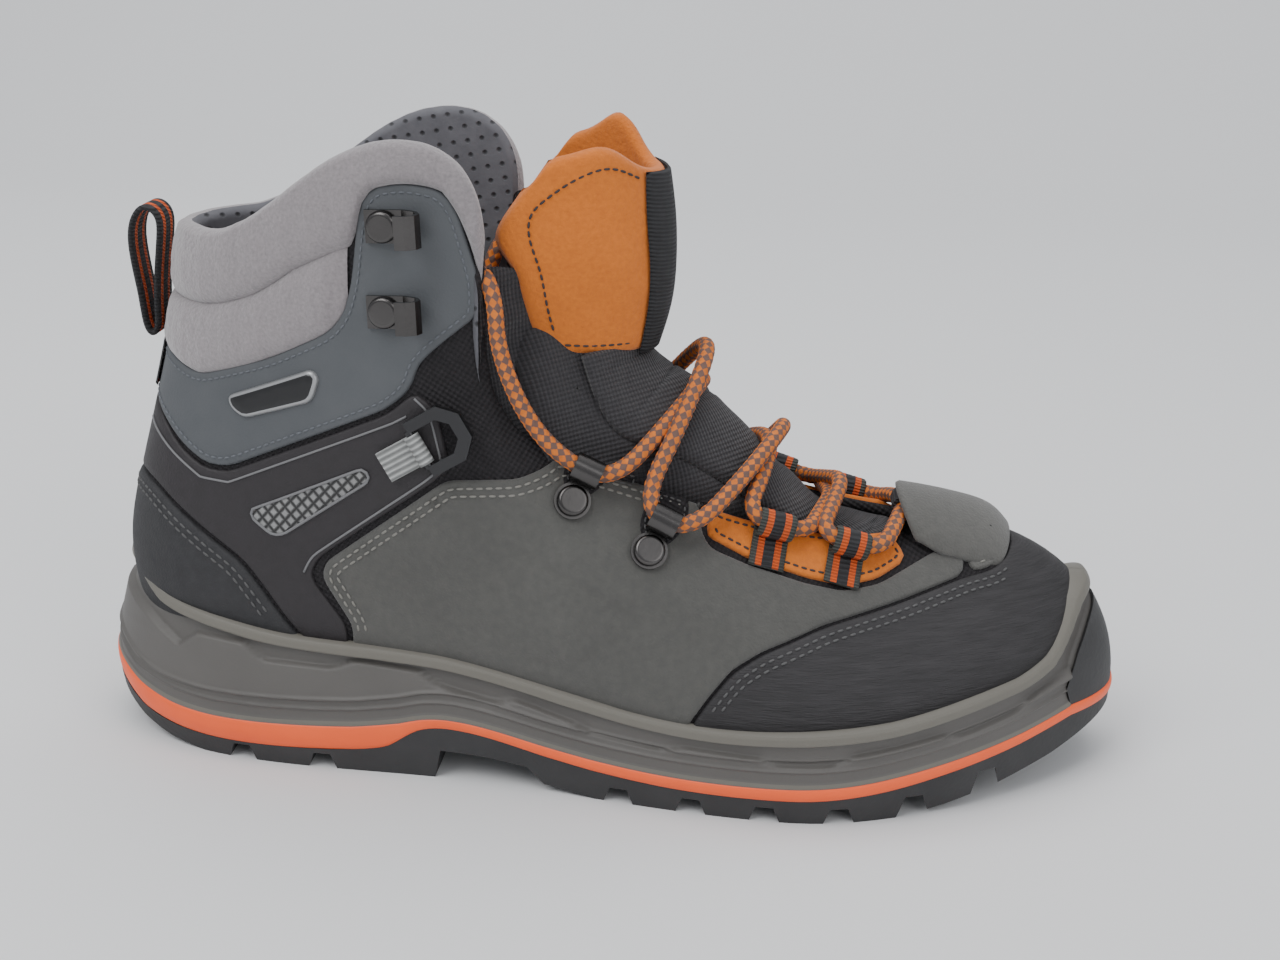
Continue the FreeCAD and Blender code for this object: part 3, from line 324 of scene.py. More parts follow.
def panel(name, uv, base, thick, body, material, spacing=2.4, roll=1.0, crown=0.0, relief=None):
    """A sewn or moulded panel on the upper: rolled edge, flat or crowned middle, optional relief.
    uv is the closed outline; heights are in mm from the lasted surface."""
    patch = Patch(uv)
    depths = [0.0, 0.12 * roll, 0.45 * roll, 1.0 * roll]
    rings = [patch.uv] + [patch.inset(d) for d in depths[1:]]
    heights = [base + thick * math.sqrt(max(0.0, 1 - (1 - min(1.0, d / roll)) ** 2)) for d in depths]
    verts_uv = [rings[0]] + rings
    offs = [np.full(len(uv), base - SKIRT)] + [np.full(len(uv), h) for h in heights]
    n = len(uv)
    faces = grid_faces(len(verts_uv), n, close_cols=True)
    inner = rings[-1] * patch.scale
    low, high = inner.min(0), inner.max(0)
    xs = np.arange(low[0], high[0], spacing)
    ys = np.arange(low[1], high[1], spacing * 0.87)
    gx, gy = np.meshgrid(xs, ys)
    gx[1::2] += spacing / 2
    pts = np.stack([gx.ravel(), gy.ravel()], 1)
    pts = pts[inside(inner, pts)]
    if len(pts):
        pts = pts[border_distance(inner, pts) > spacing * 0.45]
    allp = np.vstack([inner, pts])
    edges = [(i, (i + 1) % n) for i in range(n)]
    dv, _, df, orig, _, _ = delaunay_2d_cdt([Vector(p) for p in allp], edges, [], 0, 1e-7, True)
    dv = np.array([tuple(p) for p in dv])
    cen = np.array([dv[list(f)].mean(0) for f in df])
    keep = inside(inner, cen)
    start = len(verts_uv) * n - n
    index = {}
    extra_uv = []
    for k, src in enumerate(orig):
        first = [s for s in src if s < n]
        if first:
            index[k] = start + first[0]
        else:
            index[k] = len(verts_uv) * n + len(extra_uv)
            extra_uv.append(dv[k] / patch.scale)
    tri = [tuple(index[i] for i in f) for f, ok in zip(df, keep) if ok]
    uvs = np.vstack(verts_uv + ([np.array(extra_uv)] if extra_uv else []))
    off = np.concatenate(offs + [np.full(len(extra_uv), base + thick)])
    dist = np.zeros(len(uvs))
    if len(extra_uv):
        dist[-len(extra_uv):] = border_distance(inner, np.array(extra_uv) * patch.scale) + roll
    dist[start:start + n] = roll
    if crown:
        off += crown * (1 - np.exp(-np.maximum(dist - roll, 0) / 7.0))
    p, nn, _, _ = frames(uvs[:, 0], uvs[:, 1])
    if relief is not None:
        last = last_surface(uvs[:, 0], uvs[:, 1])
        gain = np.clip(dist / max(roll, 0.5), 0, 1)
        off = off + relief(last[:, 0], last[:, 1], last[:, 2], dist) * gain
    verts = p + nn * off[:, None]
    obj = new_object(name, verts, faces + tri, material)
    weld(obj, 1e-6)
    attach(obj, body)
    return obj, patch


def outline_side(points, side=-1, radius=2.0, spacing=2.0):
    """A closed (u, v) outline from a side-view outline, on the outer (-1) or inner (1) side."""
    p = resample(round_corners(points, radius), spacing, True)
    uv = side_uv([tuple(q) for q in p])
    if side > 0:
        uv = np.stack([2 * HALF - uv[:, 0], uv[:, 1]], 1)[::-1]
    return uv


def outline_wrap(points, end, radius=2.0, spacing=2.0):
    """A closed (u, v) outline round the heel or the toe from an open side-view line whose two ends
    lie on the middle line."""
    inner = resample(round_corners(points[1:-1], radius, closed=False), 2 * spacing)
    body = side_uv([points[0]] + [tuple(q) for q in inner] + [points[-1]])
    scale = np.array([14.0, 24.0])
    line = resample(round_corners(body * scale, radius, closed=False), spacing) / scale
    centre = 0.0 if end == "heel" else float(HALF)
    other = np.stack([2 * centre - line[:, 0], line[:, 1]], 1)[::-1]
    return np.vstack([line, other[1:-1]])


def tube(name, path, radius, body, material, sides=8, closed=False):
    """A round tube along points in mm."""
    p = np.asarray(path, float)
    n = len(p)
    t = (np.roll(p, -1, axis=0) - np.roll(p, 1, axis=0)) if closed else np.gradient(p, axis=0)
    t /= np.linalg.norm(t, axis=1)[:, None] + 1e-12
    a = np.linspace(0, 2 * math.pi, sides, endpoint=False)
    rings = []
    ref = np.cross(t[0], [0.3, 0.9, 0.2])
    for i in range(n):
        ref = ref - t[i] * (ref @ t[i])
        ref /= np.linalg.norm(ref) + 1e-12
        s = np.cross(t[i], ref)
        rings.append(p[i] + radius * (np.cos(a)[:, None] * ref + np.sin(a)[:, None] * s))
    faces = grid_faces(n, sides, close_rows=closed, close_cols=True)
    if not closed:
        faces.append(tuple(range(sides))[::-1])
        faces.append(tuple(range((n - 1) * sides, n * sides)))
    obj = new_object(name, np.concatenate(rings), faces, material)
    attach(obj, body)
    return obj


def stitches(name, paths, normals, body, material, pitch=2.9, length=2.1, radius=0.36, lift=0.12):
    """Rows of thread stitches, one mesh, along paths in mm that lie on the surface."""
    verts, faces = [], []
    sides, prof = 6, [(-0.5, 0.35), (-0.36, 0.9), (0, 1.05), (0.36, 0.9), (0.5, 0.35)]
    for path, normal in zip(paths, normals):
        seg = np.linalg.norm(np.diff(path, axis=0), axis=1)
        s = np.r_[0, np.cumsum(seg)]
        count = int(s[-1] / pitch)
        if count < 2:
            continue
        for k in range(count):
            a, b = (k + 0.5) * pitch - length / 2, (k + 0.5) * pitch + length / 2
            pa = np.array([np.interp(a, s, path[:, c]) for c in range(3)])
            pb = np.array([np.interp(b, s, path[:, c]) for c in range(3)])
            nn = np.array([np.interp((a + b) / 2, s, normal[:, c]) for c in range(3)])
            nn /= np.linalg.norm(nn) + 1e-12
            d = pb - pa
            ln = np.linalg.norm(d)
            if ln < 1e-6:
                continue
            d /= ln
            side = np.cross(d, nn)
            base = len(verts)
            for q, w in prof:
                c = (pa + pb) / 2 + d * q * ln + nn * (lift - 0.25 * radius * (2 * abs(q)) ** 3)
                for a2 in range(sides):
                    an = 2 * math.pi * a2 / sides
                    verts.append(c + radius * w * (math.cos(an) * side + math.sin(an) * nn * 0.8))
            for r in range(len(prof) - 1):
                for a2 in range(sides):
                    i, j = base + r * sides + a2, base + r * sides + (a2 + 1) % sides
                    faces.append((i, j, j + sides, i + sides))
            faces.append(tuple(base + a2 for a2 in range(sides))[::-1])
            faces.append(tuple(base + (len(prof) - 1) * sides + a2 for a2 in range(sides)))
    if not verts:
        return None
    obj = new_object(name, np.array(verts), faces, material)
    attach(obj, body)
    return obj


def on_surface(points, off, side=-1, spacing=1.5):
    """A 3-D line and its normals from a side-view line, off mm out from the lasted surface."""
    line = resample(points, spacing)
    uv = side_uv([tuple(q) for q in line])
    if side > 0:
        uv[:, 0] = 2 * HALF - uv[:, 0]
    p, n, _, _ = frames(uv[:, 0], uv[:, 1])
    return p + n * off, n


def uv_line(uv, off):
    p, n, _, _ = frames(uv[:, 0], uv[:, 1])
    return p + n * off, n


# ------------------------------------------------------------------ materials

class Shader:
    """Short ways to add, set and link the nodes of a material."""

    def __init__(self, m):
        self.tree = m.node_tree
        self.bsdf = self.tree.nodes["Principled BSDF"]

    def add(self, kind, links=(), operation=None, **values):
        """A node with its inputs set by name, and linked from (input, socket) pairs."""
        node = self.tree.nodes.new("ShaderNode" + kind)
        if operation:
            node.operation = operation
        for key, value in values.items():
            node.inputs[key.replace("_", " ")].default_value = value
        for place, socket in links:
            self.tree.links.new(socket, node.inputs[place])
        return node

    def source(self, place):
        links = self.bsdf.inputs[place].links
        return links[0].from_socket if links else None

    def set(self, place, socket):
        self.tree.links.new(socket, self.bsdf.inputs[place])

    def scaled(self, color, factor):
        return self.add("VectorMath", [(0, color), ("Scale", factor)], "SCALE").outputs["Vector"]


def material(name, color, rough=0.8, color2=None, scale=60.0, bump=0.0, bump_scale=400.0, sheen=0.0,
             metal=0.0, stretch=(1, 1, 1), detail=4.0, mix=0.5, coat=0.0, big=0.0, big_scale=14.0):
    """A procedural material: two colours mixed by noise, with a finer noise as bump."""
    m = bpy.data.materials.new(name)
    m.use_nodes = True
    sh = Shader(m)
    facts = {"Roughness": rough, "Metallic": metal}
    if sheen:
        facts.update({"Sheen Weight": sheen, "Sheen Roughness": 0.6})
    if coat:
        facts["Coat Weight"] = coat
    for key, value in facts.items():
        sh.bsdf.inputs[key].default_value = value
    place = sh.add("TexCoord").outputs["Object"]
    mapped = sh.add("Mapping", [("Vector", place)], Scale=stretch).outputs["Vector"]
    noise = sh.add("TexNoise", [("Vector", mapped)], Scale=scale, Detail=detail)
    ramp = sh.add("ValToRGB", [("Fac", noise.outputs["Fac"])])
    tones = ((0.5 - mix / 2, color2 or color), (0.5 + mix / 2, color))
    for stop, (at, tone) in zip(ramp.color_ramp.elements, tones):
        stop.position = at
        stop.color = (*tone, 1)
    last = ramp.outputs["Color"]
    if big:
        wide = sh.add("TexNoise", [("Vector", place)], Scale=big_scale, Detail=3.0)
        bright = sh.add("MapRange", [("Value", wide.outputs["Fac"])], To_Min=1.0 - big, To_Max=1.0 + big)
        last = sh.scaled(last, bright.outputs["Result"])
    sh.set("Base Color", last)
    if bump:
        fine = sh.add("TexNoise", [("Vector", mapped)], Scale=bump_scale, Detail=3.0)
        dent = sh.add("Bump", [("Height", fine.outputs["Fac"])], Strength=bump, Distance=0.0004)
        sh.set("Normal", dent.outputs["Normal"])
    return m


def add_cells(m, pitch, kind="knit", strength=0.8, dark=0.35, across=(1, 0, 1), up=(-1, 0, 1), size=0.5):
    """Adds a regular pattern of small cells to a material: darker gaps, which are painted shade in the
    recesses between the cells, and bump. pitch is in metres.
    """
    sh = Shader(m)
    place = sh.add("TexCoord").outputs["Object"]
    waves = []
    for axis in (across, up):
        a = np.array(axis, float)
        a = a / np.linalg.norm(a) * 2 * math.pi / pitch
        dot = sh.add("VectorMath", [(0, place)], "DOT_PRODUCT")
        dot.inputs[1].default_value = tuple(a)
        waves.append(sh.add("Math", [(0, dot.outputs["Value"])], "SINE").outputs[0])
    joined, low, high = {"knit": ("MULTIPLY", -1, 1), "dots": ("ADD", 2.0 - size * 2, 2.0),
                         "ribs": ("ADD", -1, 1), "grid": ("MAXIMUM", 1 - size, 1)}[kind]
    both = sh.add("Math", [(0, waves[0])], joined)
    if kind == "ribs":
        both.inputs[1].default_value = 0.0
    else:
        sh.tree.links.new(waves[1], both.inputs[1])
    flip = kind in ("dots", "grid")
    span = sh.add("MapRange", [("Value", both.outputs[0])], From_Min=low, From_Max=high,
                  To_Min=1.0 if flip else 0.0, To_Max=0.0 if flip else 1.0).outputs["Result"]
    # painted shade: the base colour is darkened in the gaps between the cells
    shade = sh.add("MapRange", [("Value", span)], To_Min=dark)
    sh.set("Base Color", sh.scaled(sh.source("Base Color"), shade.outputs["Result"]))
    dent = sh.add("Bump", [("Height", span)], Strength=strength, Distance=0.0005)
    if sh.source("Normal"):
        sh.tree.links.new(sh.source("Normal"), dent.inputs["Normal"])
    sh.set("Normal", dent.outputs["Normal"])
    return m


def add_tint(m, color, low=0.45, high=0.55):
    """Mixes a second colour in where the mesh's tint attribute is 1."""
    sh = Shader(m)
    attr = sh.add("Attribute")
    attr.attribute_name = "tint"
    span = sh.add("MapRange", [("Value", attr.outputs["Fac"])], From_Min=low, From_Max=high)
    mixer = sh.add("Mix")
    mixer.data_type = "RGBA"
    sh.tree.links.new(span.outputs["Result"], mixer.inputs["Factor"])
    sh.tree.links.new(sh.source("Base Color"), mixer.inputs[6])
    mixer.inputs[7].default_value = (*color, 1)
    sh.set("Base Color", mixer.outputs[2])
    return m


M = {}


def make(name, *facts, **more):
    M[name] = material(name, *facts, **more)


make("suede_grey", (0.082, 0.081, 0.074), 0.95, (0.066, 0.0655, 0.061), 420, 0.8, 1300, 0.18,
     detail=6.0, big=0.2, big_scale=22.0)
make("suede_light", (0.100, 0.098, 0.090), 0.95, (0.082, 0.081, 0.075), 420, 0.8, 1300, 0.18,
     detail=6.0, big=0.15)
make("suede_collar", (0.275, 0.247, 0.254), 0.97, (0.195, 0.176, 0.183), 1100, 1.0, 900, 0.45,
     detail=6.0, mix=0.5, big=0.12, big_scale=30.0)
make("suede_orange", (0.64, 0.17, 0.012), 0.92, (0.54, 0.135, 0.009), 700, 0.9, 900, 0.12,
     detail=6.0, mix=0.5, big=0.12, big_scale=24.0)
make("cuff", (0.082, 0.088, 0.095), 0.6, (0.070, 0.076, 0.083), 90, 0.35, 1400, big=0.1)
make("counter", (0.030, 0.030, 0.032), 0.75, (0.021, 0.021, 0.023), 300, 0.8, 1500)
make("rear", (0.022, 0.0185, 0.021), 0.6, (0.017, 0.0145, 0.016), 300, 0.5, 1300)
make("toe", (0.030, 0.028, 0.030), 0.68, (0.016, 0.015, 0.016), 60, 1.0, 160, stretch=(1.6, 1, 14),
     detail=3)
make("base", (0.022, 0.019, 0.022), 0.85, (0.012, 0.010, 0.012), 300, 0.3, 900)
add_cells(M["base"], 0.0019, "knit", 1.0, 0.35, (1, 0.2, 0.25), (-0.25, 0.2, 1))
make("textile", (0.040, 0.038, 0.042), 0.85, (0.028, 0.026, 0.030), 300, 0.3, 900, 0.1)
add_cells(M["textile"], 0.0017, "knit", 1.0, 0.45, (1, 0.5, -0.7), (0.6, 0.9, 1))
make("lining", (0.135, 0.135, 0.148), 0.88, (0.10, 0.10, 0.112), 200, 0.3, 900)
add_cells(M["lining"], 0.0042, "dots", 1.0, 0.2, (1, 0.3, 0.2), (-0.2, 0.3, 1), 0.35)
make("piping", (0.16, 0.16, 0.165), 0.6, bump=0.1)
make("vent", (0.26, 0.26, 0.255), 0.6, (0.20, 0.20, 0.20), 200)
add_cells(M["vent"], 0.0026, "grid", 1.0, 0.06, (1, 0, 0.9), (-1, 0, 0.9), 0.9)
make("thread_light", (0.20, 0.195, 0.175), 0.75, bump=0.4)
make("thread_grey", (0.085, 0.085, 0.085), 0.75, bump=0.4)
make("thread_dark", (0.035, 0.03, 0.03), 0.7)
make("thread_blue", (0.12, 0.13, 0.145), 0.75, bump=0.4)
make("foam", (0.105, 0.099, 0.092), 0.55, (0.092, 0.087, 0.081), 40, 0.15, 1200, big=0.08)
# painted highlight: this paler colour on the midsole's lip band stands in for light on its upper edge; it
# also goes on a narrow band at the foot
add_tint(M["foam"], (0.142, 0.134, 0.114))
make("accent", (1.0, 0.125, 0.022), 0.5, (0.92, 0.105, 0.018), 60, 0.1, 900)
make("rubber", (0.034, 0.034, 0.035), 0.62, (0.022, 0.022, 0.023), 70, 0.4, 700, big=0.2)
make("gunmetal", (0.105, 0.10, 0.098), 0.27, (0.07, 0.067, 0.065), 30, 0.08, 500, metal=1.0)
make("black_metal", (0.03, 0.03, 0.032), 0.3, bump=0.05, metal=0.7, coat=0.3)
make("web_dark", (0.030, 0.030, 0.033), 0.8, (0.02, 0.02, 0.022), 300)
add_cells(M["web_dark"], 0.0011, "ribs", 0.8, 0.5, (0.2, 0, 1))
make("web_grey", (0.075, 0.082, 0.072), 0.85, (0.055, 0.06, 0.053), 300)
add_cells(M["web_grey"], 0.0009, "ribs", 0.9, 0.5, (0.2, 0.4, 1))
make("web_orange", (0.80, 0.12, 0.012), 0.8, (0.62, 0.085, 0.01), 300)
add_cells(M["web_orange"], 0.0009, "ribs", 0.9, 0.6, (0.2, 0.4, 1))
make("web_silver", (0.45, 0.46, 0.45), 0.6, (0.36, 0.37, 0.36), 300)
add_cells(M["web_silver"], 0.0016, "ribs", 1.0, 0.4, (-0.5, 0, 0.85))
make("lace", (0.68, 0.19, 0.025), 0.85, (0.52, 0.13, 0.018), 500, 0.4, 1500)
add_tint(M["lace"], (0.135, 0.078, 0.062))
make("clear", (0.05, 0.05, 0.055), 0.25, coat=0.5)
make("footbed", (0.09, 0.09, 0.095), 0.9, (0.07, 0.07, 0.075), 200, 0.4, 900)
make("label_frame", (0.34, 0.345, 0.35), 0.38, metal=0.6)
make("label_face", (0.008, 0.008, 0.009), 0.35)
make("inner", (0.30, 0.27, 0.22), 0.8, bump=0.3)
make("floor", (0.78, 0.785, 0.79), 0.9, (0.77, 0.775, 0.78), 3)


# ------------------------------------------------------------------ camera, lights, floor

TARGET = Vector((0.103, 0.0, 0.081))
CAMERA_DISTANCE = 0.538
CAMERA_AZIMUTH, CAMERA_ELEVATION, CAMERA_ROLL = 5.0, 19.0, 1.2
CAMERA_LENS, SENSOR_WIDTH = 50.6, 36.0


def aim(place, target):
    """A rotation that looks from place to target."""
    return (place - target).to_track_quat("Z", "Y").to_euler()


def add_camera():
    az, el, roll = (math.radians(a) for a in (CAMERA_AZIMUTH, CAMERA_ELEVATION, CAMERA_ROLL))
    back = Vector((math.sin(az) * math.cos(el), -math.cos(az) * math.cos(el), math.sin(el)))
    right = Vector((0, 0, 1)).cross(back).normalized()
    up = back.cross(right)
    x = right * math.cos(roll) + up * math.sin(roll)
    y = up * math.cos(roll) - right * math.sin(roll)
    camera = bpy.data.objects.new("camera", bpy.data.cameras.new("camera"))
    camera.data.lens = CAMERA_LENS
    camera.data.sensor_width = SENSOR_WIDTH
    turned = Matrix((x, y, back)).transposed().to_4x4()
    camera.matrix_world = Matrix.Translation(TARGET + back * CAMERA_DISTANCE) @ turned
    bpy.context.scene.collection.objects.link(camera)
    bpy.context.scene.camera = camera


def add_light(name, place, power, size, color=(1, 1, 1)):
    data = bpy.data.lights.new(name, "AREA")
    data.energy = power
    data.size = size
    data.color = color
    light = bpy.data.objects.new(name, data)
    light.location = place
    light.rotation_euler = aim(Vector(place), TARGET)
    bpy.context.scene.collection.objects.link(light)


def add_stage():
    """A seamless sheet: the floor, then a wide curve up to the backdrop."""
    profile = [(-2.2, 0.0), (0.9, 0.0)]
    profile += [(0.9 + 0.9 * math.sin(a), 0.9 - 0.9 * math.cos(a)) for a in np.linspace(0.1, math.pi / 2, 14)]
    profile += [(1.8, 3.0)]
    rows = [[(x, y, z) for x in np.linspace(-3.0, 3.2, 9)] for y, z in profile]
    verts = np.array(rows).reshape(-1, 3) * 1000
    floor = new_object("floor", verts, grid_faces(len(rows), 9), M["floor"])


add_camera()
add_stage()
add_light("key", (-0.7, -0.9, 1.5), 18, 1.1)
add_light("fill", (1.3, -1.2, 0.9), 9, 1.2)
add_light("top", (0.1, 0.3, 1.8), 16, 1.6)
world = bpy.data.worlds.new("studio")
world.use_nodes = True
world.node_tree.nodes["Background"].inputs["Color"].default_value = (0.93, 0.95, 1.0, 1)
world.node_tree.nodes["Background"].inputs["Strength"].default_value = 0.62
bpy.context.scene.world = world


# ------------------------------------------------------------------ laces

LACE_RADIUS = 2.35
LACE_OUTER = [(181.8, -0.11, 78), (179.8, -9.86, 77.4), (174.58, -25.12, 71.62),
              (156.9, -26.88, 76.78), (160.05, -14.38, 81.09), (163.2, -1.88, 85.4),
              (158.03, 10.35, 81.32), (152.86, 22.58, 77.24), (135.17, 24.16, 82.4),
              (142.24, 11.82, 94.13), (146.2, -2.88, 102.6), (135.95, -24.58, 93.64),
              (120.84, -40.12, 79.74), (106.33, -39.3, 86.43), (117.41, -25.53, 109.56),
              (124, -3.53, 127.5), (113.67, 16.78, 114.08), (98.84, 30.51, 92.75),
              (84.35, 31.63, 99.44), (74, 33.36, 112), (67, 34.07, 130), (66, 32.1, 144),
              (61, 25.76, 151), (54, 23, 142), (51, 24.11, 118), (51, 25.11, 96)]
LACE_INNER = [(181.8, -0.11, 78), (179.8, 9.64, 77.4), (174, 23.09, 71.71), (156.28, 21.89, 76.88),
              (158.14, 9.88, 78.54), (160, -2.14, 80.2), (156.66, -15.13, 78.91),
              (153.06, -27.93, 77.21), (135.51, -30.77, 82.33), (140.34, -18.13, 92.15),
              (141.8, -3.05, 98.6), (132.72, 18.57, 90.65), (120.84, 32.81, 79.74),
              (106.34, 31.93, 86.43), (116.84, 18.68, 104.15), (122.6, -3.55, 116.2),
              (113.18, -25.7, 107.64), (98.85, -37.79, 92.74), (84.33, -38.37, 99.44),
              (74, -39.64, 112), (67, -39.93, 130), (66, -37.9, 144), (61, -31.24, 151),
              (54, -28, 142), (51, -28.89, 118), (51, -29.89, 96)]


def curve_points(name, route):
    """Points along the NURBS spline whose control points are the route, in mm."""
    curve = bpy.data.curves.new(name, "CURVE")
    curve.dimensions = "3D"
    curve.resolution_u = 10
    line = curve.splines.new("NURBS")
    line.points.add(len(route) - 1)
    for point, place in zip(line.points, route):
        point.co = (*place, 1.0)
    line.order_u = 3
    line.use_endpoint_u = True
    holder = bpy.data.objects.new(name, curve)
    mesh = bpy.data.meshes.new_from_object(holder)
    points = np.array([v.co for v in mesh.vertices], float)
    bpy.data.objects.remove(holder)
    bpy.data.curves.remove(curve)
    bpy.data.meshes.remove(mesh)
    return points


def braid(name, route, node):
    """A round braid along its route: strands that cross as shallow ridges, with two dark flecks a turn."""
    path = curve_points(name, route)
    line = resample(path, 0.5)
    sides, lay = 32, 5.6
    t = np.gradient(line, axis=0)
    t /= np.linalg.norm(t, axis=1)[:, None]
    ref = np.cross(t[0], (0.3, 0.9, 0.2))
    verts, tint = [], []
    for i, p in enumerate(line):
        ref = ref - t[i] * (ref @ t[i])
        ref /= np.linalg.norm(ref)
        side = np.cross(t[i], ref)
        a = np.linspace(0, 2 * math.pi, sides, endpoint=False)
        turn = 2 * math.pi * 0.5 * i / lay
        strands = np.maximum(np.sin(4 * a + 2 * turn), np.sin(4 * a - 2 * turn))
        radius = LACE_RADIUS * (0.955 + 0.06 * strands)
        verts.append(p + radius[:, None] * (np.cos(a)[:, None] * ref + np.sin(a)[:, None] * side))
        tint.append(0.53 - 0.8 * np.sin(3 * a + turn) * np.sin(3 * a - turn))
    verts = np.concatenate(verts)
    faces = grid_faces(len(line), sides, close_cols=True)
    faces.append(tuple(range(sides))[::-1])
    faces.append(tuple(range(len(verts) - sides, len(verts))))
    obj = new_object(name, verts, faces, M["lace"], tint=np.concatenate(tint))
    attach(obj, "boot")
    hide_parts(node)
    return obj


# ------------------------------------------------------------------ the bootie: textile and lining

def smooth_noise(p, scale, seed=0.0):
    """A slow wavy value from -1 to 1 for each point in mm."""
    q = p / scale
    return (np.sin(q[:, 0] * 1.7 + q[:, 2] * 2.3 + seed) + np.sin(q[:, 1] * 2.1 - q[:, 2] * 1.3 + 2 * seed)
            + np.sin(q[:, 0] * 2.9 - q[:, 1] * 1.9 + 3 * seed)) / 3


RIM = 1.7
LINING_IN = -3.4
COLLAR_INSIDE = -4.4


def shell(name, rows, mat, node, body="boot"):
    """A closed band round the boot from rows of (v, offset, lift along the surface)."""
    us = np.linspace(0, 2 * HALF, 12 * 2 * HALF, endpoint=False)
    grid = []
    for v, off, lift in rows:
        p, n, _, dv = frames(us, np.full(len(us), v))
        dv = dv / np.linalg.norm(dv, axis=1)[:, None]
        grid.append(p + n * off + dv * lift)
    faces = grid_faces(len(rows), len(us), close_cols=True)
    obj = new_object(name, np.concatenate(grid), faces, mat)
    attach(obj, body)
    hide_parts(node)
    return obj


def rim_rows(first, last, count=7):
    return [(TOP, -RIM + RIM * math.cos(a), RIM * math.sin(a))
            for a in np.linspace(first, last, count)]


def bootie():
    rise = [(v, 0.0, 0.0) for v in np.linspace(0.3, TOP, 60)]
    outer = shell("bootie_textile", rise + rim_rows(0.3, math.pi), M["base"], "upper_base")
    fall = [(v, LINING_IN, 0.0) for v in np.linspace(TOP, 0.0, 60)]
    inner = shell("lining_mesh", fall, M["lining"], "lining")


# ------------------------------------------------------------------ collar rolls

def line_v(points):
    """v as a function of u along a side-view line on the outer side."""
    uv = side_uv([tuple(q) for q in points])
    order = np.argsort(uv[:, 0])
    return lambda u: np.interp(np.abs(u), uv[order, 0], uv[order, 1])


def roll(name, low, high, reach, thick, mat, node, over=False, count=18):
    """A padded band round the heel between two lines: reach is how far forward it runs in u."""
    us = np.linspace(-reach, reach, 220)
    vl, vh = line_v(low)(us), (np.full(len(us), TOP) if high is None else line_v(high)(us))
    wide = np.linalg.norm(surface(us, vl) - surface(us, vh), axis=1)
    puff = np.clip(wide / 9.0, 0.25, 1.0) * np.clip((reach - np.abs(us)) / 0.5 + 0.25, 0, 1)
    rows = []
    for s in np.linspace(0, 1, count):
        near = min(1.0, s * 3.2)
        far = 1.0 if over else min(1.0, (1 - s) * 3.2)
        shape = math.sqrt(1 - (1 - near) ** 2) * math.sqrt(1 - (1 - far) ** 2)
        crown = 1 - 0.25 * (2 * s - 1) ** 2
        p, n, _, _ = frames(us, vl + (vh - vl) * s)
        ripple = 0.22 * smooth_noise(p, 5.0, 1.3) + 0.18 * smooth_noise(p, 2.2, 0.4)
        off = 0.05 + (thick * crown * puff + ripple * puff) * shape
        rows.append(p + n * off[:, None])
        top_off = off
    if over:
        inner_rows = collar_inside(us, vh, top_off)
        rows += inner_rows[:7]
        inside_band = new_object("collar_inner_padding", np.concatenate(inner_rows[6:]),
                                 grid_faces(len(inner_rows) - 6, len(us)), M["lining"])
        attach(inside_band, "boot")
    verts = np.concatenate(rows)
    faces = grid_faces(len(rows), len(us))
    obj = new_object(name, verts, faces, mat)
    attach(obj, "boot")
    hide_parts(node)
    return obj


def collar_inside(us, vh, top_off):
    """Rows over the rim of the opening and down its inside, as a soft band above the lining."""
    p, n, _, dv = frames(us, vh)
    dv = dv / np.linalg.norm(dv, axis=1)[:, None]
    mid, half = (top_off + COLLAR_INSIDE) / 2, (top_off - COLLAR_INSIDE) / 2
    rows = [p + n * (mid + half * math.cos(a))[:, None] + dv * (0.8 * half * math.sin(a))[:, None]
            for a in np.linspace(0.2, math.pi, 12)]
    for k in np.linspace(0.05, 1, 14):
        p, n, _, _ = frames(us, vh - 1.5 * k)
        swell = 1.5 * math.sin(math.pi * min(1, k * 1.02))
        rows.append(p + n * (COLLAR_INSIDE - swell + 1.1 * step((k - 0.85) / 0.15)))
    return rows


ROLL_JOIN = [(19, 134.7), (35, 135.8), (47.6, 140.3), (59.6, 148.4), (76.2, 156.5), (77.2, 161),
             (78.6, 168.6), (81.6, 173.6), (92, 175.6), (103.4, 174), (107.6, 168), (112, 156)]
ROLL_FOOT = [(13, 119.9), (17, 117.4), (28, 114.4), (51.2, 122.4), (69.2, 131.5), (74.2, 137),
             (76.6, 146), (77.2, 154.4)]
ROLL_FRONT = [(19, 134.4), (35, 135.5), (47.6, 140), (59.6, 148.1), (76.4, 156), (78.6, 160.6), (80.2, 167.6),
              (83.2, 171.9), (92, 173.8), (102.2, 172.2), (105.8, 167), (111, 152)]


def collar():
    top = roll("collar_top_roll", [("heel", 134.9)] + ROLL_FRONT, None, 6.95, 3.2, M["suede_collar"],
               "collar_upper_roll", over=True)
    lower = roll("collar_low_roll", [("heel", 121)] + ROLL_FOOT,
                 [("heel", 135.6)] + [(x, z + 0.5) for x, z in ROLL_JOIN[:5]], 4.36, 3.0,
                 M["suede_collar"], "collar_lower_roll")


# ------------------------------------------------------------------ panels of the upper

def near_outline(patch, uv, inset):
    """Which inset points keep their distance from the outline."""
    p, edge = surface(uv[:, 0], uv[:, 1]), surface(patch.uv[:, 0], patch.uv[:, 1])
    d = np.linalg.norm(p[:, None] - edge[None], axis=2).min(1)
    return d > 0.92 * inset


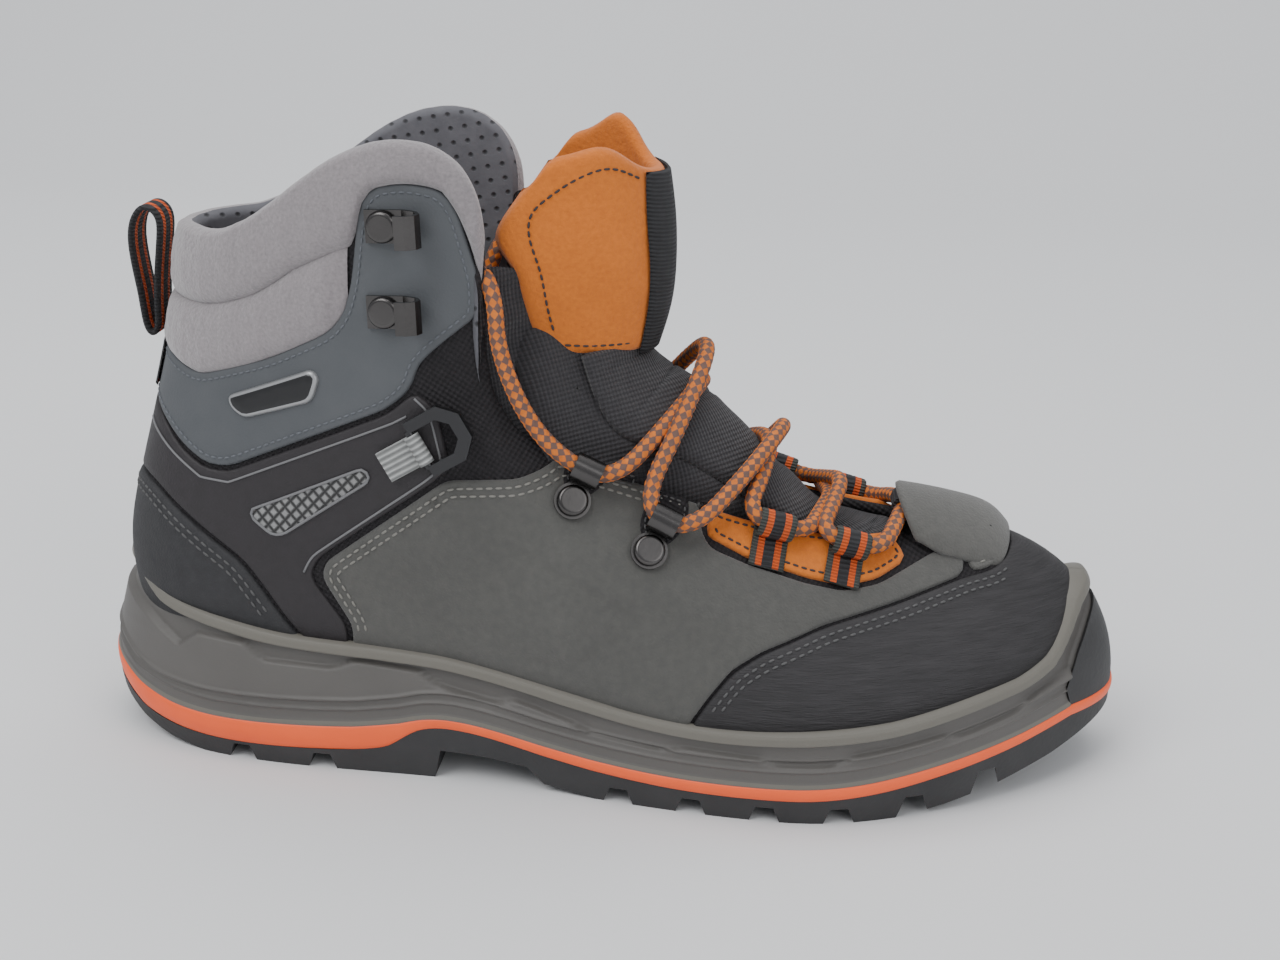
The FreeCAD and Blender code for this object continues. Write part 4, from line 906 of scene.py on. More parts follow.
def seam(name, patch, insets, height, mat, keep=None, body="boot", pitch=2.9, length=2.1, radius=0.36):
    """Rows of stitches along the edge of a panel, where keep(distance, height, half width) is true."""
    paths, normals = [], []
    for inset in insets:
        uv = patch.inset(inset)
        last = last_surface(uv[:, 0], uv[:, 1])
        ok = near_outline(patch, uv, inset)
        if keep is not None:
            ok &= keep(last[:, 0], last[:, 1], last[:, 2])
        n = len(uv)
        start = next((i for i in range(n) if not ok[i]), 0)
        run = []
        for i in list(range(start, start + n)) + [None]:
            if i is not None and ok[i % n]:
                run.append(uv[i % n])
                continue
            if len(run) > 4:
                p, nn = uv_line(np.array(run), height)
                paths.append(p)
                normals.append(nn)
            run = []
    return stitches(name, paths, normals, body, mat, pitch, length, radius)


BASE, THICK = 0.1, 1.1
FACE = BASE + THICK


def piece(name, uv, mat, slot, node=None, **facts):
    obj, patch = panel(name, uv, facts.pop("base", BASE), facts.pop("thick", THICK), "boot", mat, **facts)
    if node:
        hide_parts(node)
    return obj, patch


def bead(name, path, radius, mat, closed=False, body="boot"):
    obj = tube(name, path, radius, body, mat, sides=8, closed=closed)
    return obj


CUFF = [("heel", 126.5), (14.5, 119.5), (18, 117.5), (28, 114.5), (51, 122.5), (69, 131.5), (74, 137),
        (76.5, 146), (78.3, 160), (79.6, 168), (82.5, 172.6), (92, 174.4), (102.5, 172.8), (106.4, 167),
        (112.2, 146), (111.6, 139), (101.5, 131), (95, 125), (93.2, 118), (86.5, 112), (37, 89.5),
        (30, 89.6), (22, 94), (13.5, 101), ("heel", 106)]
COUNTER = [("heel", 79.5), (8.5, 80.5), (13.5, 79.5), (41, 62.5), (47, 55), (54.5, 44.5), (60, 38), (60, 30),
           ("heel_row", 0.2)]
REAR = [("heel", 105), (13.5, 100.2), (21.5, 92.8), (29.5, 88.4), (37.4, 88.3), (87, 110.8), (94, 117.5),
        (100, 113), (104, 96.5), (99.5, 92), (63.8, 65.3), (62, 60), (72.5, 45.5), (72, 30), (62, 30),
        (61.6, 38), (55.5, 45), (48, 55.8), (41.8, 63.4), (14, 80.6), (8.5, 81.8), ("heel", 80.6)]
VENT = [(44.8, 78.4), (53.2, 82.2), (79, 94.4), (81.2, 92.8), (80.4, 90.5), (54.6, 72.2), (51.2, 71.8),
        (45.4, 76)]
LABEL = [(38.3, 110.4), (64.6, 121.2), (67, 119), (64.6, 111.8), (43.4, 104.4), (39.2, 107)]
SUEDE = [(65.5, 60), (66.5, 64.6), (99, 89.8), (103, 92.6), (122, 93), (129, 95.4), (135, 99.6),
         (138, 101.4), (142, 101.4), (150.5, 96.6), (161, 90.6), (169.5, 88.2), (172, 85),
         (173.4, 77.5), (176, 73.6), (187, 69), (203, 64), (214, 61.6), (224, 62.4), (240, 68.2),
         (248.5, 69.6), (249, 63), (230, 58.6), (208, 54.6), (192, 49), (184, 44), (178, 36),
         (172.5, 27), (172, 20), (74, 30), (74, 46)]
EMBOSS = [(98.5, 86.0), (130, 69.5), (148, 60.5), (157, 56.5), (139, 40), (120, 41.5)]
TOE_CAP = [("toe", 262.6), (263, 67.5), (261.5, 65), (257, 63), (249.4, 62.4), (230.2, 58), (208.3, 54),
           (192.4, 48.4), (184.6, 43.4), (178.6, 35.6), (173.3, 26.8), (173.3, 20), ("toe_row", 0.05)]
TOE_VAMP = [("toe", 237.2), (243, 74.2), (249.6, 70.6), (249.6, 63.2), (256.6, 63.8), (260.8, 65.6),
            (262, 67.6), ("toe", 261.2)]
STAY = [(174.6, 76.6), (187.5, 70.2), (203.4, 65.2), (214.2, 62.8), (223.6, 63.6), (232, 67),
        (229, 71), (221, 74.6), (208, 77), (190, 84.5), (177, 90)]


def polyline_distance(x, z, line):
    pts = np.stack([x, z], 1)
    best = np.full(len(pts), 1e9)
    for a, b in zip(np.array(line[:-1], float), np.array(line[1:], float)):
        d = b - a
        t = np.clip((pts - a) @ d / (d @ d), 0, 1)
        best = np.minimum(best, np.linalg.norm(pts - (a + t[:, None] * d), axis=1))
    return best


def step(t):
    t = np.clip(t, 0, 1)
    return t * t * (3 - 2 * t)


def rear_panels():
    _, patch = piece("cuff_panel", outline_wrap(CUFF, "heel"), M["cuff"], "cuff_leather", "cuff_overlay",
                        roll=0.9, spacing=2.6)
    seam("cuff_stitches", patch, [2.2], FACE, M["thread_blue"], pitch=2.3, length=1.6, radius=0.3)
    _, patch = piece("heel_counter_panel", outline_wrap(COUNTER, "heel"), M["counter"], "counter_rubber",
                         "heel_counter_cover", thick=1.3, roll=1.1)
    seam("counter_stitches", patch, [2.6, 4.8], FACE + 0.2, M["thread_grey"], lambda x, z, y: z > 45)
    piece("rear_panel", outline_wrap(REAR, "heel", 1.4), M["rear"], "rear_synthetic", "rear_quarter",
          roll=0.8)
    for side, word in SIDES:
        line = [(9.5, 97.0), (20, 90.5), (29, 85.6), (38, 85.4), (66, 98.2), (88, 108.2), (92, 110.5)]
        path, _ = on_surface(line, FACE + 0.15, side)
        bead("rear_piping_%s" % word, path, 0.34, M["piping"])
        line = [(60.4, 61.5), (62.8, 66.4), (98, 93), (101.8, 97), (98.2, 112), (94.2, 115.6)]
        path, _ = on_surface(round_corners(line, 2.5, False), FACE + 0.1, side)
        bead("front_piping_%s" % word, path, 0.34, M["piping"])
        uv = outline_side(VENT, side, 2.0, 1.6)
        piece("vent_%s" % word, uv, M["vent"], "vent_mesh", "vent_mesh_%s" % word,
              base=FACE - 0.1, thick=0.35,
              roll=0.5, crown=0.3, spacing=1.8)
        path, _ = uv_line(uv, FACE + 0.3)
        bead("vent_frame_%s" % word, path, 0.42, M["piping"], closed=True)
    uv = outline_side(LABEL, -1, 2.2, 1.0)
    _, patch = piece("label_frame", uv, M["label_frame"], "label", "label_plate", base=FACE - 0.2, thick=1.5,
                       roll=1.0, spacing=1.6)
    face_uv = patch.inset(1.0)[::2]
    piece("label_face", face_uv, M["label_face"], "label", base=FACE + 1.0, thick=0.5, roll=0.5, spacing=1.6)


def suede_relief(x, z, y, dist):
    groove = -0.75 * np.exp(-(polyline_distance(x, z, EMBOSS) / 0.9) ** 2)
    return groove + 0.12 * np.sin(x * 0.21 + z * 0.37)


def side_panels():
    for side, word in SIDES:
        uv = outline_side(SUEDE, side, 2.4)
        _, patch = piece("quarter_suede_%s" % word, uv, M["suede_grey"], "quarter_suede",
                           "quarter_%s" % word, roll=0.9, spacing=2.2, relief=suede_relief)
        seam("quarter_stitches_%s" % word, patch, [2.2, 4.4], FACE, M["thread_light"],
             lambda x, z, y: (z > 44) & (x < 170), pitch=2.7, length=1.9)
        uv = outline_side(STAY, side, 2.0)
        _, patch = piece("lace_stay_panel_%s" % word, uv, M["suede_orange"], "stay_suede",
                           "lace_stay_%s" % word, roll=1.0, base=FACE - 0.9, thick=1.3)
        seam("stay_stitches_%s" % word, patch, [2.0], FACE + 0.4, M["thread_dark"], pitch=2.5, length=1.7)


SADDLES = [(137.2, 86.6), (159.2, 73.6)]


def ring_tabs():
    """Dark scalloped tabs behind the lace rings."""
    for k, (x, z) in enumerate(SADDLES):
        cx, cz = x + 3.6, z + 8.0
        oval = [(cx + 6.6 * math.cos(a) + 1.0 * math.sin(a), cz + 7.2 * math.sin(a))
                for a in np.linspace(0, 2 * math.pi, 18, endpoint=False)]
        for side, word in SIDES:
            uv = outline_side(oval, side, 1.0, 1.2)
            _, patch = piece("ring_tab_%s_%d" % (word, k + 1), uv, M["base"], "base_textile",
                               base=FACE - 0.4, thick=0.75, roll=0.6, spacing=1.6)
            seam("ring_tab_stitches_%s_%d" % (word, k + 1), patch, [1.3], FACE + 0.35, M["thread_grey"],
                 pitch=2.0, length=1.4, radius=0.28)


def toe_panels():
    _, patch = piece("toe_cap_panel", outline_wrap(TOE_CAP, "toe"), M["toe"], "toe_rubber", "toe_cap",
                       thick=1.2, roll=1.2, spacing=2.6)
    seam("toe_cap_stitches", patch, [2.4, 4.5], FACE + 0.1, M["thread_grey"],
         lambda x, z, y: (z > 30) & (x < 262), pitch=2.7, length=1.8)
    _, patch = piece("toe_vamp_panel", outline_wrap(TOE_VAMP, "toe"), M["suede_light"], "vamp_suede",
                        "toe_vamp", roll=0.9, spacing=2.4)
    seam("toe_vamp_stitches", patch, [1.8, 3.6, 5.4], FACE, M["thread_light"],
         lambda x, z, y: (x > 250) & (z > 62), pitch=2.5, length=1.8)


# ------------------------------------------------------------------ tongue and gusset

TONGUE_CENTRE = [(156.5, 124), (160, 137), (161, 150), (160.4, 163), (158.5, 176)]
TONGUE_WINGS = [(127, 124.5, 22), (121.5, 138, 24.5), (118.5, 151, 26.5), (114.5, 165, 27.5), (122, 181, 27)]
TONGUE = [(*centre, *wing) for centre, wing in zip(TONGUE_CENTRE, TONGUE_WINGS)]
GUSSET = [(231, 67.5, 230, 66.0, 5.0), (221, 69.2, 219, 66.6, 12.0), (206, 74.2, 203, 68.4, 16.0),
          (187, 92.4, 181, 73.2, 20.0), (168.5, 109.6, 155, 83.2, 23.8), (160, 114.6, 134, 91.5, 26.5)]


def arch(stations, t, s):
    """Points in mm, and normals that face the front, on an arched sheet: t from its first to its last
    station, s from -1 on the outer side to 1 on the inner side."""
    def at(t, s):
        c = spline(stations, t * (len(stations) - 1))
        bow = np.cos(s * math.pi / 2)
        x = c[:, 2] + (c[:, 0] - c[:, 2]) * bow
        z = c[:, 3] + (c[:, 1] - c[:, 3]) * bow
        return np.stack([x - HEEL, middle(x) + c[:, 4] * np.sin(s * math.pi / 2), z], 1)
    e = 0.004
    p = at(t, s)
    n = np.cross(at(t, s + e) - at(t, s - e), at(t + e, s) - at(t - e, s))
    return p, n / (np.linalg.norm(n, axis=1)[:, None] + 1e-12)


PAD_WIDTH = 60.0     # mm taken as every pad's width, for its edge


def pad_sheet(name, place_at, rows, cols, thick, mat, edge=4.0, shape=None):
    """A closed pad: place_at(t, s) gives points and normals, thick its thickness, and shape(t, s) adds
    height to its front."""
    t, s = np.meshgrid(np.linspace(0, 1, rows), np.linspace(-1, 1, cols), indexing="ij")
    t, s = t.ravel(), s.ravel()
    p, n = place_at(t, s)
    first, last = (place_at(np.array([at]), np.array([0.0]))[0] for at in (0.0, 1.0))
    long = np.linalg.norm(first - last)
    d = np.minimum.reduce([t * long, (1 - t) * long, (1 - s) * PAD_WIDTH / 2, (1 + s) * PAD_WIDTH / 2])
    swell = np.sqrt(np.clip(1 - (1 - np.clip(d / edge, 0, 1)) ** 2, 0, 1))
    front = thick * 0.5 * swell + (shape(t, s, p) * swell if shape is not None else 0)
    back = thick * 0.5 * swell
    verts = np.vstack([p + n * front[:, None], p - n * back[:, None]])
    faces = grid_faces(rows, cols)
    count = rows * cols
    faces += [tuple(count + i for i in f[::-1]) for f in faces]
    obj = new_object(name, verts, faces, mat)
    weld(obj, 2e-6)
    return obj


def tongue():

    def flap(t, s):
        wing = np.abs(s)
        hump = 5.0 * np.exp(-((wing - 0.58) / 0.2) ** 2) - 9.0 * step((wing - 0.80) / 0.2) ** 1.5
        hump += np.where(s > 0, 4.5 * np.exp(-((wing - 0.55) / 0.16) ** 2), 0.0)
        p, n = arch(TONGUE, t, s * (1 - 0.03 * step((0.12 - t) / 0.12)))
        p = p - n * 2.4
        p[:, 2] += hump * step((t - 0.35) / 0.65)
        return p, n

    def pillow(t, s, p):
        return 0.35 + 0.35 * smooth_noise(p, 8.0, 0.7) + 0.15 * smooth_noise(p, 3.1, 1.7)

    top = pad_sheet("tongue_flap", flap, 60, 80, 4.4, M["suede_orange"], edge=3.0, shape=pillow)
    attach(top, "tongue")
    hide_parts("tongue_top")

    def strap(t, s):
        p, n = arch(TONGUE, t * 0.985, s * 0.33)
        return p + n * 0.9, n
    strip = pad_sheet("tongue_webbing", strap, 60, 14, 1.1, M["web_dark"], edge=0.7)
    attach(strip, "tongue")
    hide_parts("tongue_strip")
    paths, normals = [], []
    rows = [[(0.925, 0.36), (0.92, 0.5), (0.90, 0.62), (0.865, 0.74), (0.80, 0.83), (0.70, 0.87),
             (0.4, 0.875),
             (0.12, 0.87)], [(0.075, 0.85), (0.07, 0.7), (0.07, 0.37)]]
    for side in (-1, 1):
        for row in rows:
            line = smooth_open(np.array(row), 0.012)
            p, n = flap(line[:, 0], line[:, 1] * side)
            paths.append(p + n * 2.55)
            normals.append(n)
    stitches("tongue_stitches", paths, normals, "tongue", M["thread_dark"], 2.5, 1.8, 0.34)

    lower = [tuple(q) for q in GUSSET[:4]] + [(168.5, 109.6, 155, 82.2, 26.0), (160, 114.6, 133, 90.5, 29.0),
                                              (152.3, 122.0, 123, 114, 27.5), (149.5, 133, 115.5, 133, 21.5)]

    def bellows(t, s):
        p, n = arch(lower, t, s)
        return p + n * 0.6, n

    def folds(t, s, p):
        side = step((np.abs(s) - 0.45) / 0.2)
        wave = np.sin(2 * math.pi * (np.abs(s) * 2.1 + t * 1.6)) * 1.1 + np.sin(t * 23 + 5 * s) * 0.35
        return side * wave

    web = pad_sheet("gusset_textile", bellows, 120, 64, 1.2, M["textile"], edge=1.0, shape=folds)
    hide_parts("gusset")
    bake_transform(web)

    def body(t, s):
        p, n = arch(lower, 0.04 + t * 0.88, s * 0.62)
        return p + n * 2.2, n

    def creases(t, s, p):
        rib = np.exp(-((np.mod(t * 6.0 + 0.12 * np.sin(3 * s), 1.0) - 0.5) / 0.07) ** 2)
        return 0.5 * smooth_noise(p, 6.0) - 1.0 * rib * (1 - np.abs(s)) - 0.5 * (np.abs(s) > 0.9)

    base = pad_sheet("tongue_textile", body, 130, 40, 2.2, M["textile"], edge=2.5, shape=creases)
    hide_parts("tongue_base")
    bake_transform(base)


TAB_LEAN = 1.9       # mm that the inner side of the toe stands higher


def vamp_tab():
    """The suede flap over the front end of the lacing, above the toe loop."""
    stations = [(228.6, 83.6, 236.0, 69.0, 16.0), (237, 82.0, 242, 68.4, 16.6),
                (248, 79.2, 249.5, 67.2, 16.2), (257.5, 75.6, 255.5, 65.8, 14.6),
                (263.4, 69.6, 259.5, 64.9, 12.6)]

    def place_at(t, s):
        p, n = arch(stations, t, s * (1 - 0.12 * step((0.3 - t) / 0.3)))
        p[:, 2] += TAB_LEAN * np.sin(s * math.pi / 2) * step(t / 0.8)
        return p, n

    def lumps(t, s, p):
        return 0.3 * smooth_noise(p, 5.0, 2.1)

    tab = pad_sheet("vamp_tab", place_at, 34, 44, 1.3, M["suede_light"], edge=1.0, shape=lumps)
    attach(tab, "boot")
    paths, normals = [], []
    for row in (0.10, 0.20):
        s = np.linspace(-0.93, 0.93, 30)
        p, n = place_at(np.full(30, row), s)
        paths.append(p + n * 0.8)
        normals.append(n)
    stitches("vamp_tab_stitches", paths, normals, "boot", M["thread_light"], 2.3, 1.6, 0.3)


def membranes():
    """The folded textile between the collar's front edge and the tongue's wings."""
    for side, word in SIDES:
        rows, cols = 40, 22
        grid = []
        for t in np.linspace(0, 0.86, rows):
            u = 9.3 - 2.4 * t
            uu = u if side < 0 else 2 * HALF - u
            edge, n, _, _ = frames([uu], [TOP])
            start = edge[0] - n[0] * 2.2
            wing, wn = arch(TONGUE, np.array([0.02 + 0.55 * t]), np.array([0.93 * side]))
            end = wing[0] - wn[0] * 2.5
            mid = (start + end) / 2 + np.array([-3.5, -1.5 * side, -1.0])
            for k in np.linspace(0, 1, cols):
                p = (1 - k) ** 2 * start + 2 * k * (1 - k) * mid + k * k * end
                fold = np.array([0.9 * math.sin(t * 21 + 4 * k), 0, 0.5 * math.sin(t * 13 + 7 * k)])
                grid.append(p + fold * math.sin(math.pi * k))
        obj = new_object("membrane_%s" % word, np.array(grid), grid_faces(rows, cols), M["textile"])
        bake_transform(obj)


# ------------------------------------------------------------------ sole

SOLE_PLAN = [(-9.5, 0), (-7, 12), (2, 24.5), (20, 35), (45, 40.3), (75, 41.5), (105, 42), (135, 45.5),
             (165, 50.5), (190, 54), (212, 55), (235, 50.5), (257, 42), (273, 32.5), (285, 23.5),
             (293, 15), (297, 7), (298, 0)]
SOLE_LEVELS = [(-3, -5, 292, -3), (10, -8.5, 297, -0.5), (24, -9.5, 298, 0), (36, -7.5, 296.5, -0.8),
               (48, -4.5, 291.5, -2.5), (64, -1, 284, -5)]
LIP_LINE = [(-12, 57), (-2, 55), (10, 48.5), (27, 45), (50, 41.8), (75, 40.3), (99, 38.7), (117, 36),
            (135, 32.6), (155, 29.3), (180, 27.3), (206, 28.3), (231, 30.2), (250, 33.6), (268, 37.2),
            (278, 41), (285, 47), (292, 54), (302, 60)]
ACCENT_TOP = [(-14, 27), (-9, 24.3), (-4, 21.5), (4, 17.6), (16, 14.6), (30, 13.4), (50, 13.5), (74, 14.8),
              (88, 17), (95, 18.8), (104, 19.2), (117, 17.5), (130, 15), (145, 12.8), (163, 11.2),
              (181, 10.6), (198, 10.8), (215, 11.6), (232, 13.6), (251, 16.8), (268, 20.2), (283, 24)]


def height_at(line, x):
    """The height of a side-view line at each distance x, on a smooth curve through its points."""
    line = np.array(line, float)
    i = np.clip(np.searchsorted(line[:, 0], x, side="right") - 1, 0, len(line) - 2)
    t = i + np.clip((x - line[i, 0]) / (line[i + 1, 0] - line[i, 0]), 0, 1)
    return spline(line[:, 1:], t)[:, 0]


def sole_wall(s, z):
    """Points on the sole's side: s from 0 at the heel to 1 at the toe, at height z."""
    plan = np.array(SOLE_PLAN, float)
    first, last = plan[0, 0], plan[-1, 0]
    c = spline(plan, s * (len(plan) - 1))
    levels = np.array(SOLE_LEVELS, float)
    heel, toe, growth = (np.interp(z, levels[:, 0], levels[:, k]) for k in (1, 2, 3))
    x = heel + (c[:, 0] - first) * (toe - heel) / (last - first)
    h = np.maximum(0, c[:, 1] + growth * np.minimum(1, c[:, 1] / 20.0))
    return x, h


WALL_DEPTH = 5.0     # mm that each layer reaches in


def wall_grid(name, low, high, relief, mat, node, rows, tint_at=None):
    """A moulded layer round the sole between two side-view lines."""
    cols = 420
    s = 0.5 - 0.5 * np.cos(np.linspace(0, math.pi, cols))
    ring_s = np.concatenate([s, s[-2:0:-1]])
    side = np.concatenate([-np.ones(cols), np.ones(cols - 2)])
    x0, _ = sole_wall(ring_s, np.full(len(ring_s), 24.0))
    zl, zh = height_at(low, x0), height_at(high, x0)
    grid, tints = [], []
    levels = [(0.0, WALL_DEPTH)] + [(r, None) for r in np.linspace(0, 1, rows)] + [(1.0, WALL_DEPTH)]
    for r, cut in levels:
        z = zl + (zh - zl) * r
        x, h = sole_wall(ring_s, z)
        p = np.stack([x - HEEL, middle(x) + side * h, z], 1)
        along = np.roll(p, -1, axis=0) - np.roll(p, 1, axis=0)
        n = np.stack([along[:, 1], -along[:, 0], 0 * along[:, 0]], 1)
        n /= np.linalg.norm(n, axis=1)[:, None] + 1e-9
        out = relief(x, z, zl, zh) if cut is None else np.full(len(x), -cut)
        grid.append(p + n * out[:, None])
        tints.append(tint_at(x, z, zl, zh) if tint_at else 0 * x)
    verts = np.concatenate(grid)
    faces = grid_faces(len(levels), len(ring_s), close_cols=True)
    obj = new_object(name, verts, faces, mat, tint=np.concatenate(tints))
    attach(obj, "boot")
    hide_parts(node)


ACCENT_BOTTOM = [(-14, 22.5), (-9, 19), (-4, 15.2), (4, 10.4), (16, 7.2), (30, 5.9), (50, 5.9), (74, 7.4),
                 (84, 9.8), (93, 15.4), (104, 16.8), (117, 15), (130, 12.3), (145, 9.9), (163, 8), (181, 7.2),
                 (198, 7.3), (215, 8), (232, 10.2), (251, 13.6), (268, 17.2), (283, 21.1)]
FACET_LINE = [(-12, 47), (8, 39.5), (19.5, 33.6), (26, 38.4), (41, 37.6), (47, 33.0), (68, 32.4),
              (75, 35.2), (94, 33.4), (99, 29.8), (116, 26.2), (122, 27.8), (139, 23.6), (145, 20.8),
              (165, 18.6), (171, 20.6), (192, 19.8), (198, 17.6), (214, 18.2), (220, 21.2), (244, 24.6),
              (250, 23.4), (266, 27.0), (272, 31.0), (302, 40)]
LIP_HEIGHT = 3.8
BUMPER_EDGE = [(12.5, 283), (24, 283), (30, 281), (39, 284), (46, 287.5), (51.5, 291), (56, 296)]
BUMPER_TOP = 56.0
BUMPER_SINK = 1.3


def rib(d, width):
    return np.exp(-(d / width) ** 2)


def foam_relief(x, z, zl, zh):
    low = z - zl
    lip = step((z - (zh - LIP_HEIGHT)) / 0.9)
    facet = step((z - np.interp(x, *zip(*FACET_LINE))) / 0.9) * (1 - lip)
    tall = step((zh - zl - 12) / 8)
    out = 0.55 * lip - 0.35 * step((z - zh + 1.4) / 1.4) ** 2
    out += -2.2 * facet * tall
    out += 0.8 * tall * (rib(low - 9.2, 0.5) + rib(low - 6.0, 0.45))
    out += -0.35 * tall * step((low - 2.0) / 0.6) * step((9.0 - low) / 0.8)
    out += 0.25 * rib(low - 0.9, 0.7)
    behind = step((x - np.interp(z, *zip(*BUMPER_EDGE))) / 0.8) * step((BUMPER_TOP - z) / 0.8)
    return out * (1 - behind) - BUMPER_SINK * behind


def accent_relief(x, z, zl, zh):
    r = np.clip((z - zl) / (zh - zl), 0, 1)
    return 0.75 * np.sqrt(np.clip(1 - (2 * r - 1) ** 2, 0, 1)) * np.clip((zh - zl) / 4, 0.4, 1)


# Painted highlight: 1 on the band along the lip, whose paler colour stands in for light on the lip's upper
# edge, and 1 on a narrow band at the foot.
def foam_lip_highlight_and_foot_band(x, z, zl, zh):
    return np.maximum(step((z - zh + LIP_HEIGHT) / 0.5), step((2.2 - (z - zl)) / 0.4))


def carry(node, mat, bevel=0.0, segments=2):
    """A CAD node that stays, with its own material and softened edges."""
    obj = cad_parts[node]
    for spot in obj.material_slots:
        spot.link = "OBJECT"
        spot.material = mat
    if bevel:
        mod = obj.modifiers.new("soft_edges", "BEVEL")
        mod.width = bevel
        mod.segments = segments
        mod.limit_method = "ANGLE"
        mod.angle_limit = math.radians(35)
        mod.harden_normals = False
    return obj


def sole():
    wall_grid("midsole_wall", ACCENT_TOP, LIP_LINE, foam_relief, M["foam"], "midsole",
              tint_at=foam_lip_highlight_and_foot_band, rows=70)
    wall_grid("accent_stripe", ACCENT_BOTTOM, [(x, z + 0.7) for x, z in ACCENT_TOP], accent_relief,
              M["accent"], "midsole_accent", rows=10)
    carry("outsole", M["rubber"], 0.0007)


# ------------------------------------------------------------------ webbing

STRIPES = [(-5.25, "web_grey"), (-3.5, "web_orange"), (-1.6, "web_dark"), (1.6, "web_orange"),
           (3.5, "web_grey"), (5.25, None)]


def ribbon(name, path, out, across, thick, stripes, body, node=None):
    """Woven webbing along a path: out is the side that it faces, across its width's direction."""
    cols, mats = [], []
    for (a, mat), (b, _) in zip(stripes[:-1], stripes[1:]):
        k = max(2, int(round((b - a) / 0.6)))
        cols += list(np.linspace(a, b, k + 1)[:-1])
        mats += [mat] * k
    cols = np.array(cols + [stripes[-1][0]])
    half = cols[-1]
    edge = ((np.abs(cols) - (half - thick / 2)) / (thick / 2)).clip(0, 1)
    lift = thick / 2 * np.sqrt(np.clip(1 - edge ** 2, 0.02, 1))
    lift = lift * (1 + 0.10 * np.cos(cols * 2 * math.pi / 1.75))
    ring_w = np.concatenate([cols, cols[::-1]])
    ring_h = np.concatenate([lift, -lift[::-1]])
    across = np.broadcast_to(np.asarray(across, float), path.shape)
    grid = [p + n * h[:, None] + a * ring_w[:, None] for p, n, a, h in
            zip(path, out, across, [ring_h] * len(path))]
    n = len(ring_w)
    faces = grid_faces(len(path), n, close_cols=True)
    order = mats + [mats[-1]] + mats[::-1] + [mats[0]]
    faces.append(tuple(range(n))[::-1])
    faces.append(tuple(range((len(path) - 1) * n, len(path) * n)))
    obj = new_object(name, np.concatenate(grid), faces)
    names = list(dict.fromkeys(order))
    for key in names:
        obj.data.materials.append(M[key])
    index = [names.index(order[k % n]) for _ in range(len(path) - 1) for k in range(n)] + [0, 0]
    obj.data.polygons.foreach_set("material_index", index[:len(obj.data.polygons)])
    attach(obj, body)
    if node:
        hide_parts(node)
    return obj


WEB_LOOPS = [(192.6, 76.2), (214.2, 70.2)]
WEB_DIRECTION = (0.28, 0.96)


def seat(x, z, direction, side):
    """A point on the upper, with the directions along, across and out."""
    uv = side_uv([(x, z)])
    if side > 0:
        uv[:, 0] = 2 * HALF - uv[:, 0]
    p, n, _, _ = frames(uv[:, 0], uv[:, 1])
    along = np.array([direction[0], 0, direction[1]])
    along = along - n[0] * (along @ n[0])
    along /= np.linalg.norm(along)
    return p[0], along, np.cross(n[0], along), n[0]


def lace_loops():
    for k, (x, z) in enumerate(WEB_LOOPS):
        for side, word in SIDES:
            p, a, c, n = seat(x, z, WEB_DIRECTION, side)
            flat = [(-12 + 0.8 * i, 0.5) for i in range(15)]
            turn = np.linspace(-math.pi / 2, 1.42 * math.pi, 36)
            round_part = [(3.5 * math.cos(t), 4.0 + 3.5 * math.sin(t)) for t in turn]
            line = np.array(flat + round_part)
            path = p + n * 1.65 + line[:, :1] * a + line[:, 1:] * n
            t = np.gradient(path, axis=0)
            t /= np.linalg.norm(t, axis=1)[:, None]
            out = np.cross(t, c)
            ribbon("lace_loop_%s_%d" % (word, k + 1), path, -out, c, 1.0, STRIPES, "boot",
                   "webbing_lace_loops")


HEEL_LOOP = [(8.1, 121.4), (6.3, 124.2), (5.2, 133), (3.4, 147), (4.8, 155.6), (8.4, 158.6),
             (11.8, 155.8), (11.7, 148), (10.1, 134), (9.7, 124.2)]
PULL_STRIPES = [(-6.5, "web_dark"), (-3.9, "web_orange"), (-1.9, "web_dark"), (1.9, "web_orange"),
                (3.9, "web_dark"), (6.5, None)]


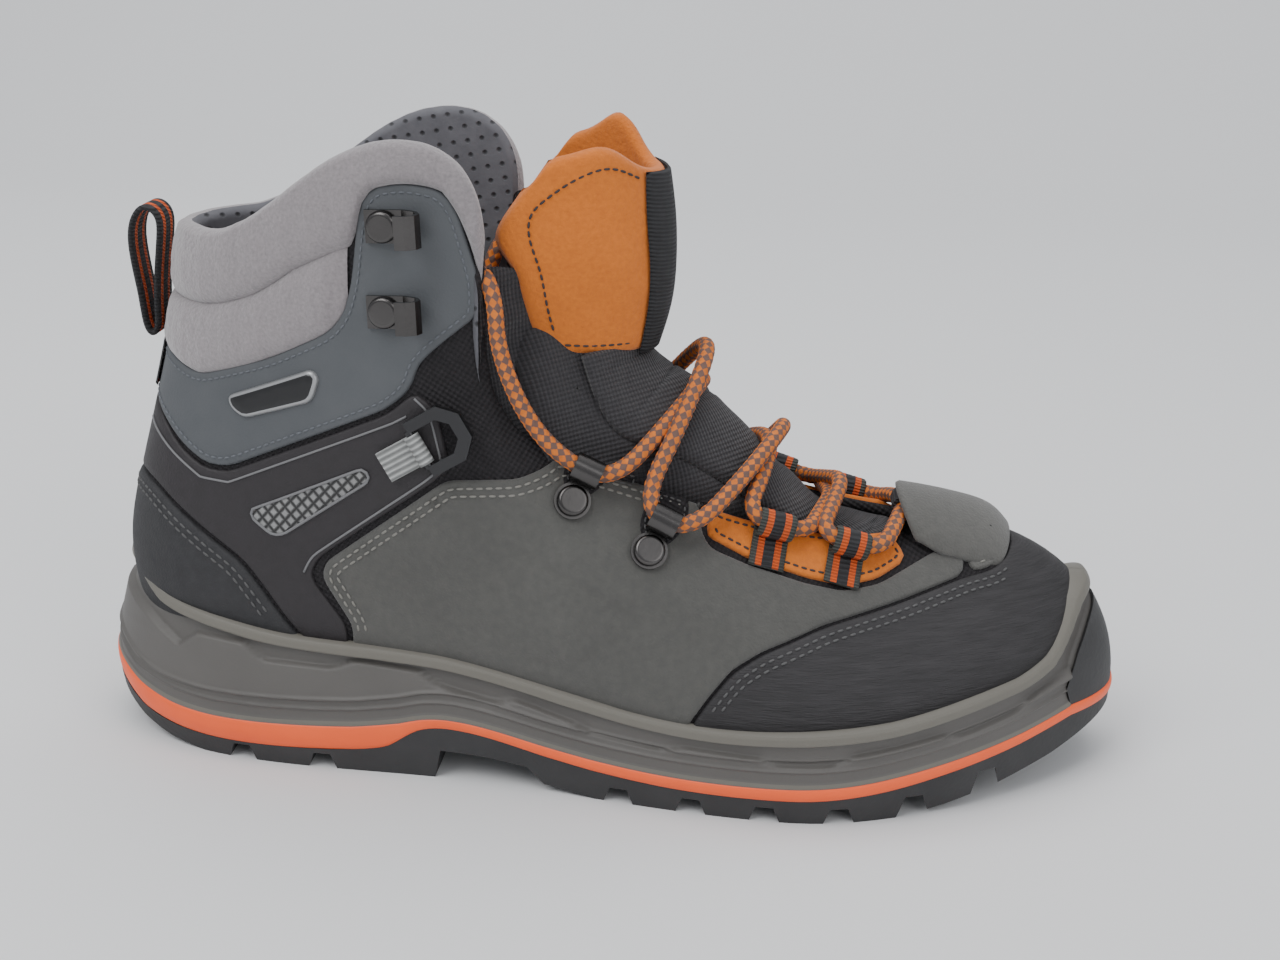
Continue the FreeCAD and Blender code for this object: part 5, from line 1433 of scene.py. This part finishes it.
def pull_loop():
    ring = np.array(HEEL_LOOP + HEEL_LOOP[:4], float)
    t = np.linspace(2, 12, 121)
    line = spline(ring, t)
    path = np.stack([line[:, 0] - HEEL, 0 * line[:, 0], line[:, 1]], 1)
    tangent = np.gradient(path, axis=0)
    tangent /= np.linalg.norm(tangent, axis=1)[:, None]
    out = np.cross(tangent, (0, 1, 0))
    ribbon("pull_loop_webbing", path, out, (0, 1, 0), 1.5, PULL_STRIPES, "heel_loop",
           "heel_pull_loop")
    v = side_uv([("heel", 105.5), ("heel", 120.5)])[:, 1]
    rows, cols = 24, 23
    grid = []
    for i, vv in enumerate(np.linspace(v[0], v[1], rows)):
        widths = np.linspace(-6.5, 6.5, cols)
        half = abs(last_surface([1.0], [vv])[0, 2])
        p, n, _, _ = frames(-widths / half, np.full(cols, vv))
        edge = np.minimum(1, (6.5 - np.abs(widths)) / 0.8 + 0.2)
        off = FACE + 0.1 + 1.1 * np.sqrt(1 - (1 - edge) ** 2) * min(1, min(i, rows - 1 - i) + 0.3)
        grid.append(p + n * off[:, None])
    obj = new_object("heel_tab_webbing", np.concatenate(grid), grid_faces(rows, cols))
    for key in ("web_dark", "web_orange"):
        obj.data.materials.append(M[key])
    mid = (np.linspace(-6.5, 6.5, cols)[:-1] + np.linspace(-6.5, 6.5, cols)[1:]) / 2
    row = [1 if 1.9 < abs(w) < 3.9 else 0 for w in mid]
    obj.data.polygons.foreach_set("material_index", row * (rows - 1))
    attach(obj, "boot")
    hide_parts("heel_tab")


# ------------------------------------------------------------------ metal and inside parts

def hardware():
    for node in ("lace_hooks", "hook_rivets", "lace_rings", "ring_rivets"):
        carry(node, M["gunmetal"], 0.0006, 3)
    for word in ("lateral", "medial"):
        carry("ankle_ring_" + word, M["black_metal"], 0.0006, 3)
        carry("ankle_webbing_" + word, M["web_silver"], 0.0003)
    carry("toe_lace_loop", M["web_dark"], 0.0004)
    carry("aglet_outer", M["clear"], 0.0004)
    carry("aglet_inner", M["clear"], 0.0004)
    carry("footbed", M["footbed"], 0.001)
    for node in ("shank", "lasting_board", "heel_counter_stiffener", "toe_puff"):
        carry(node, M["inner"])


bootie()
collar()
rear_panels()
side_panels()
ring_tabs()
toe_panels()
vamp_tab()
tongue()
membranes()
sole()
lace_loops()
pull_loop()
hardware()
braid("lace_outer_braid", LACE_OUTER, "lace_outer")
braid("lace_inner_braid", LACE_INNER, "lace_inner")
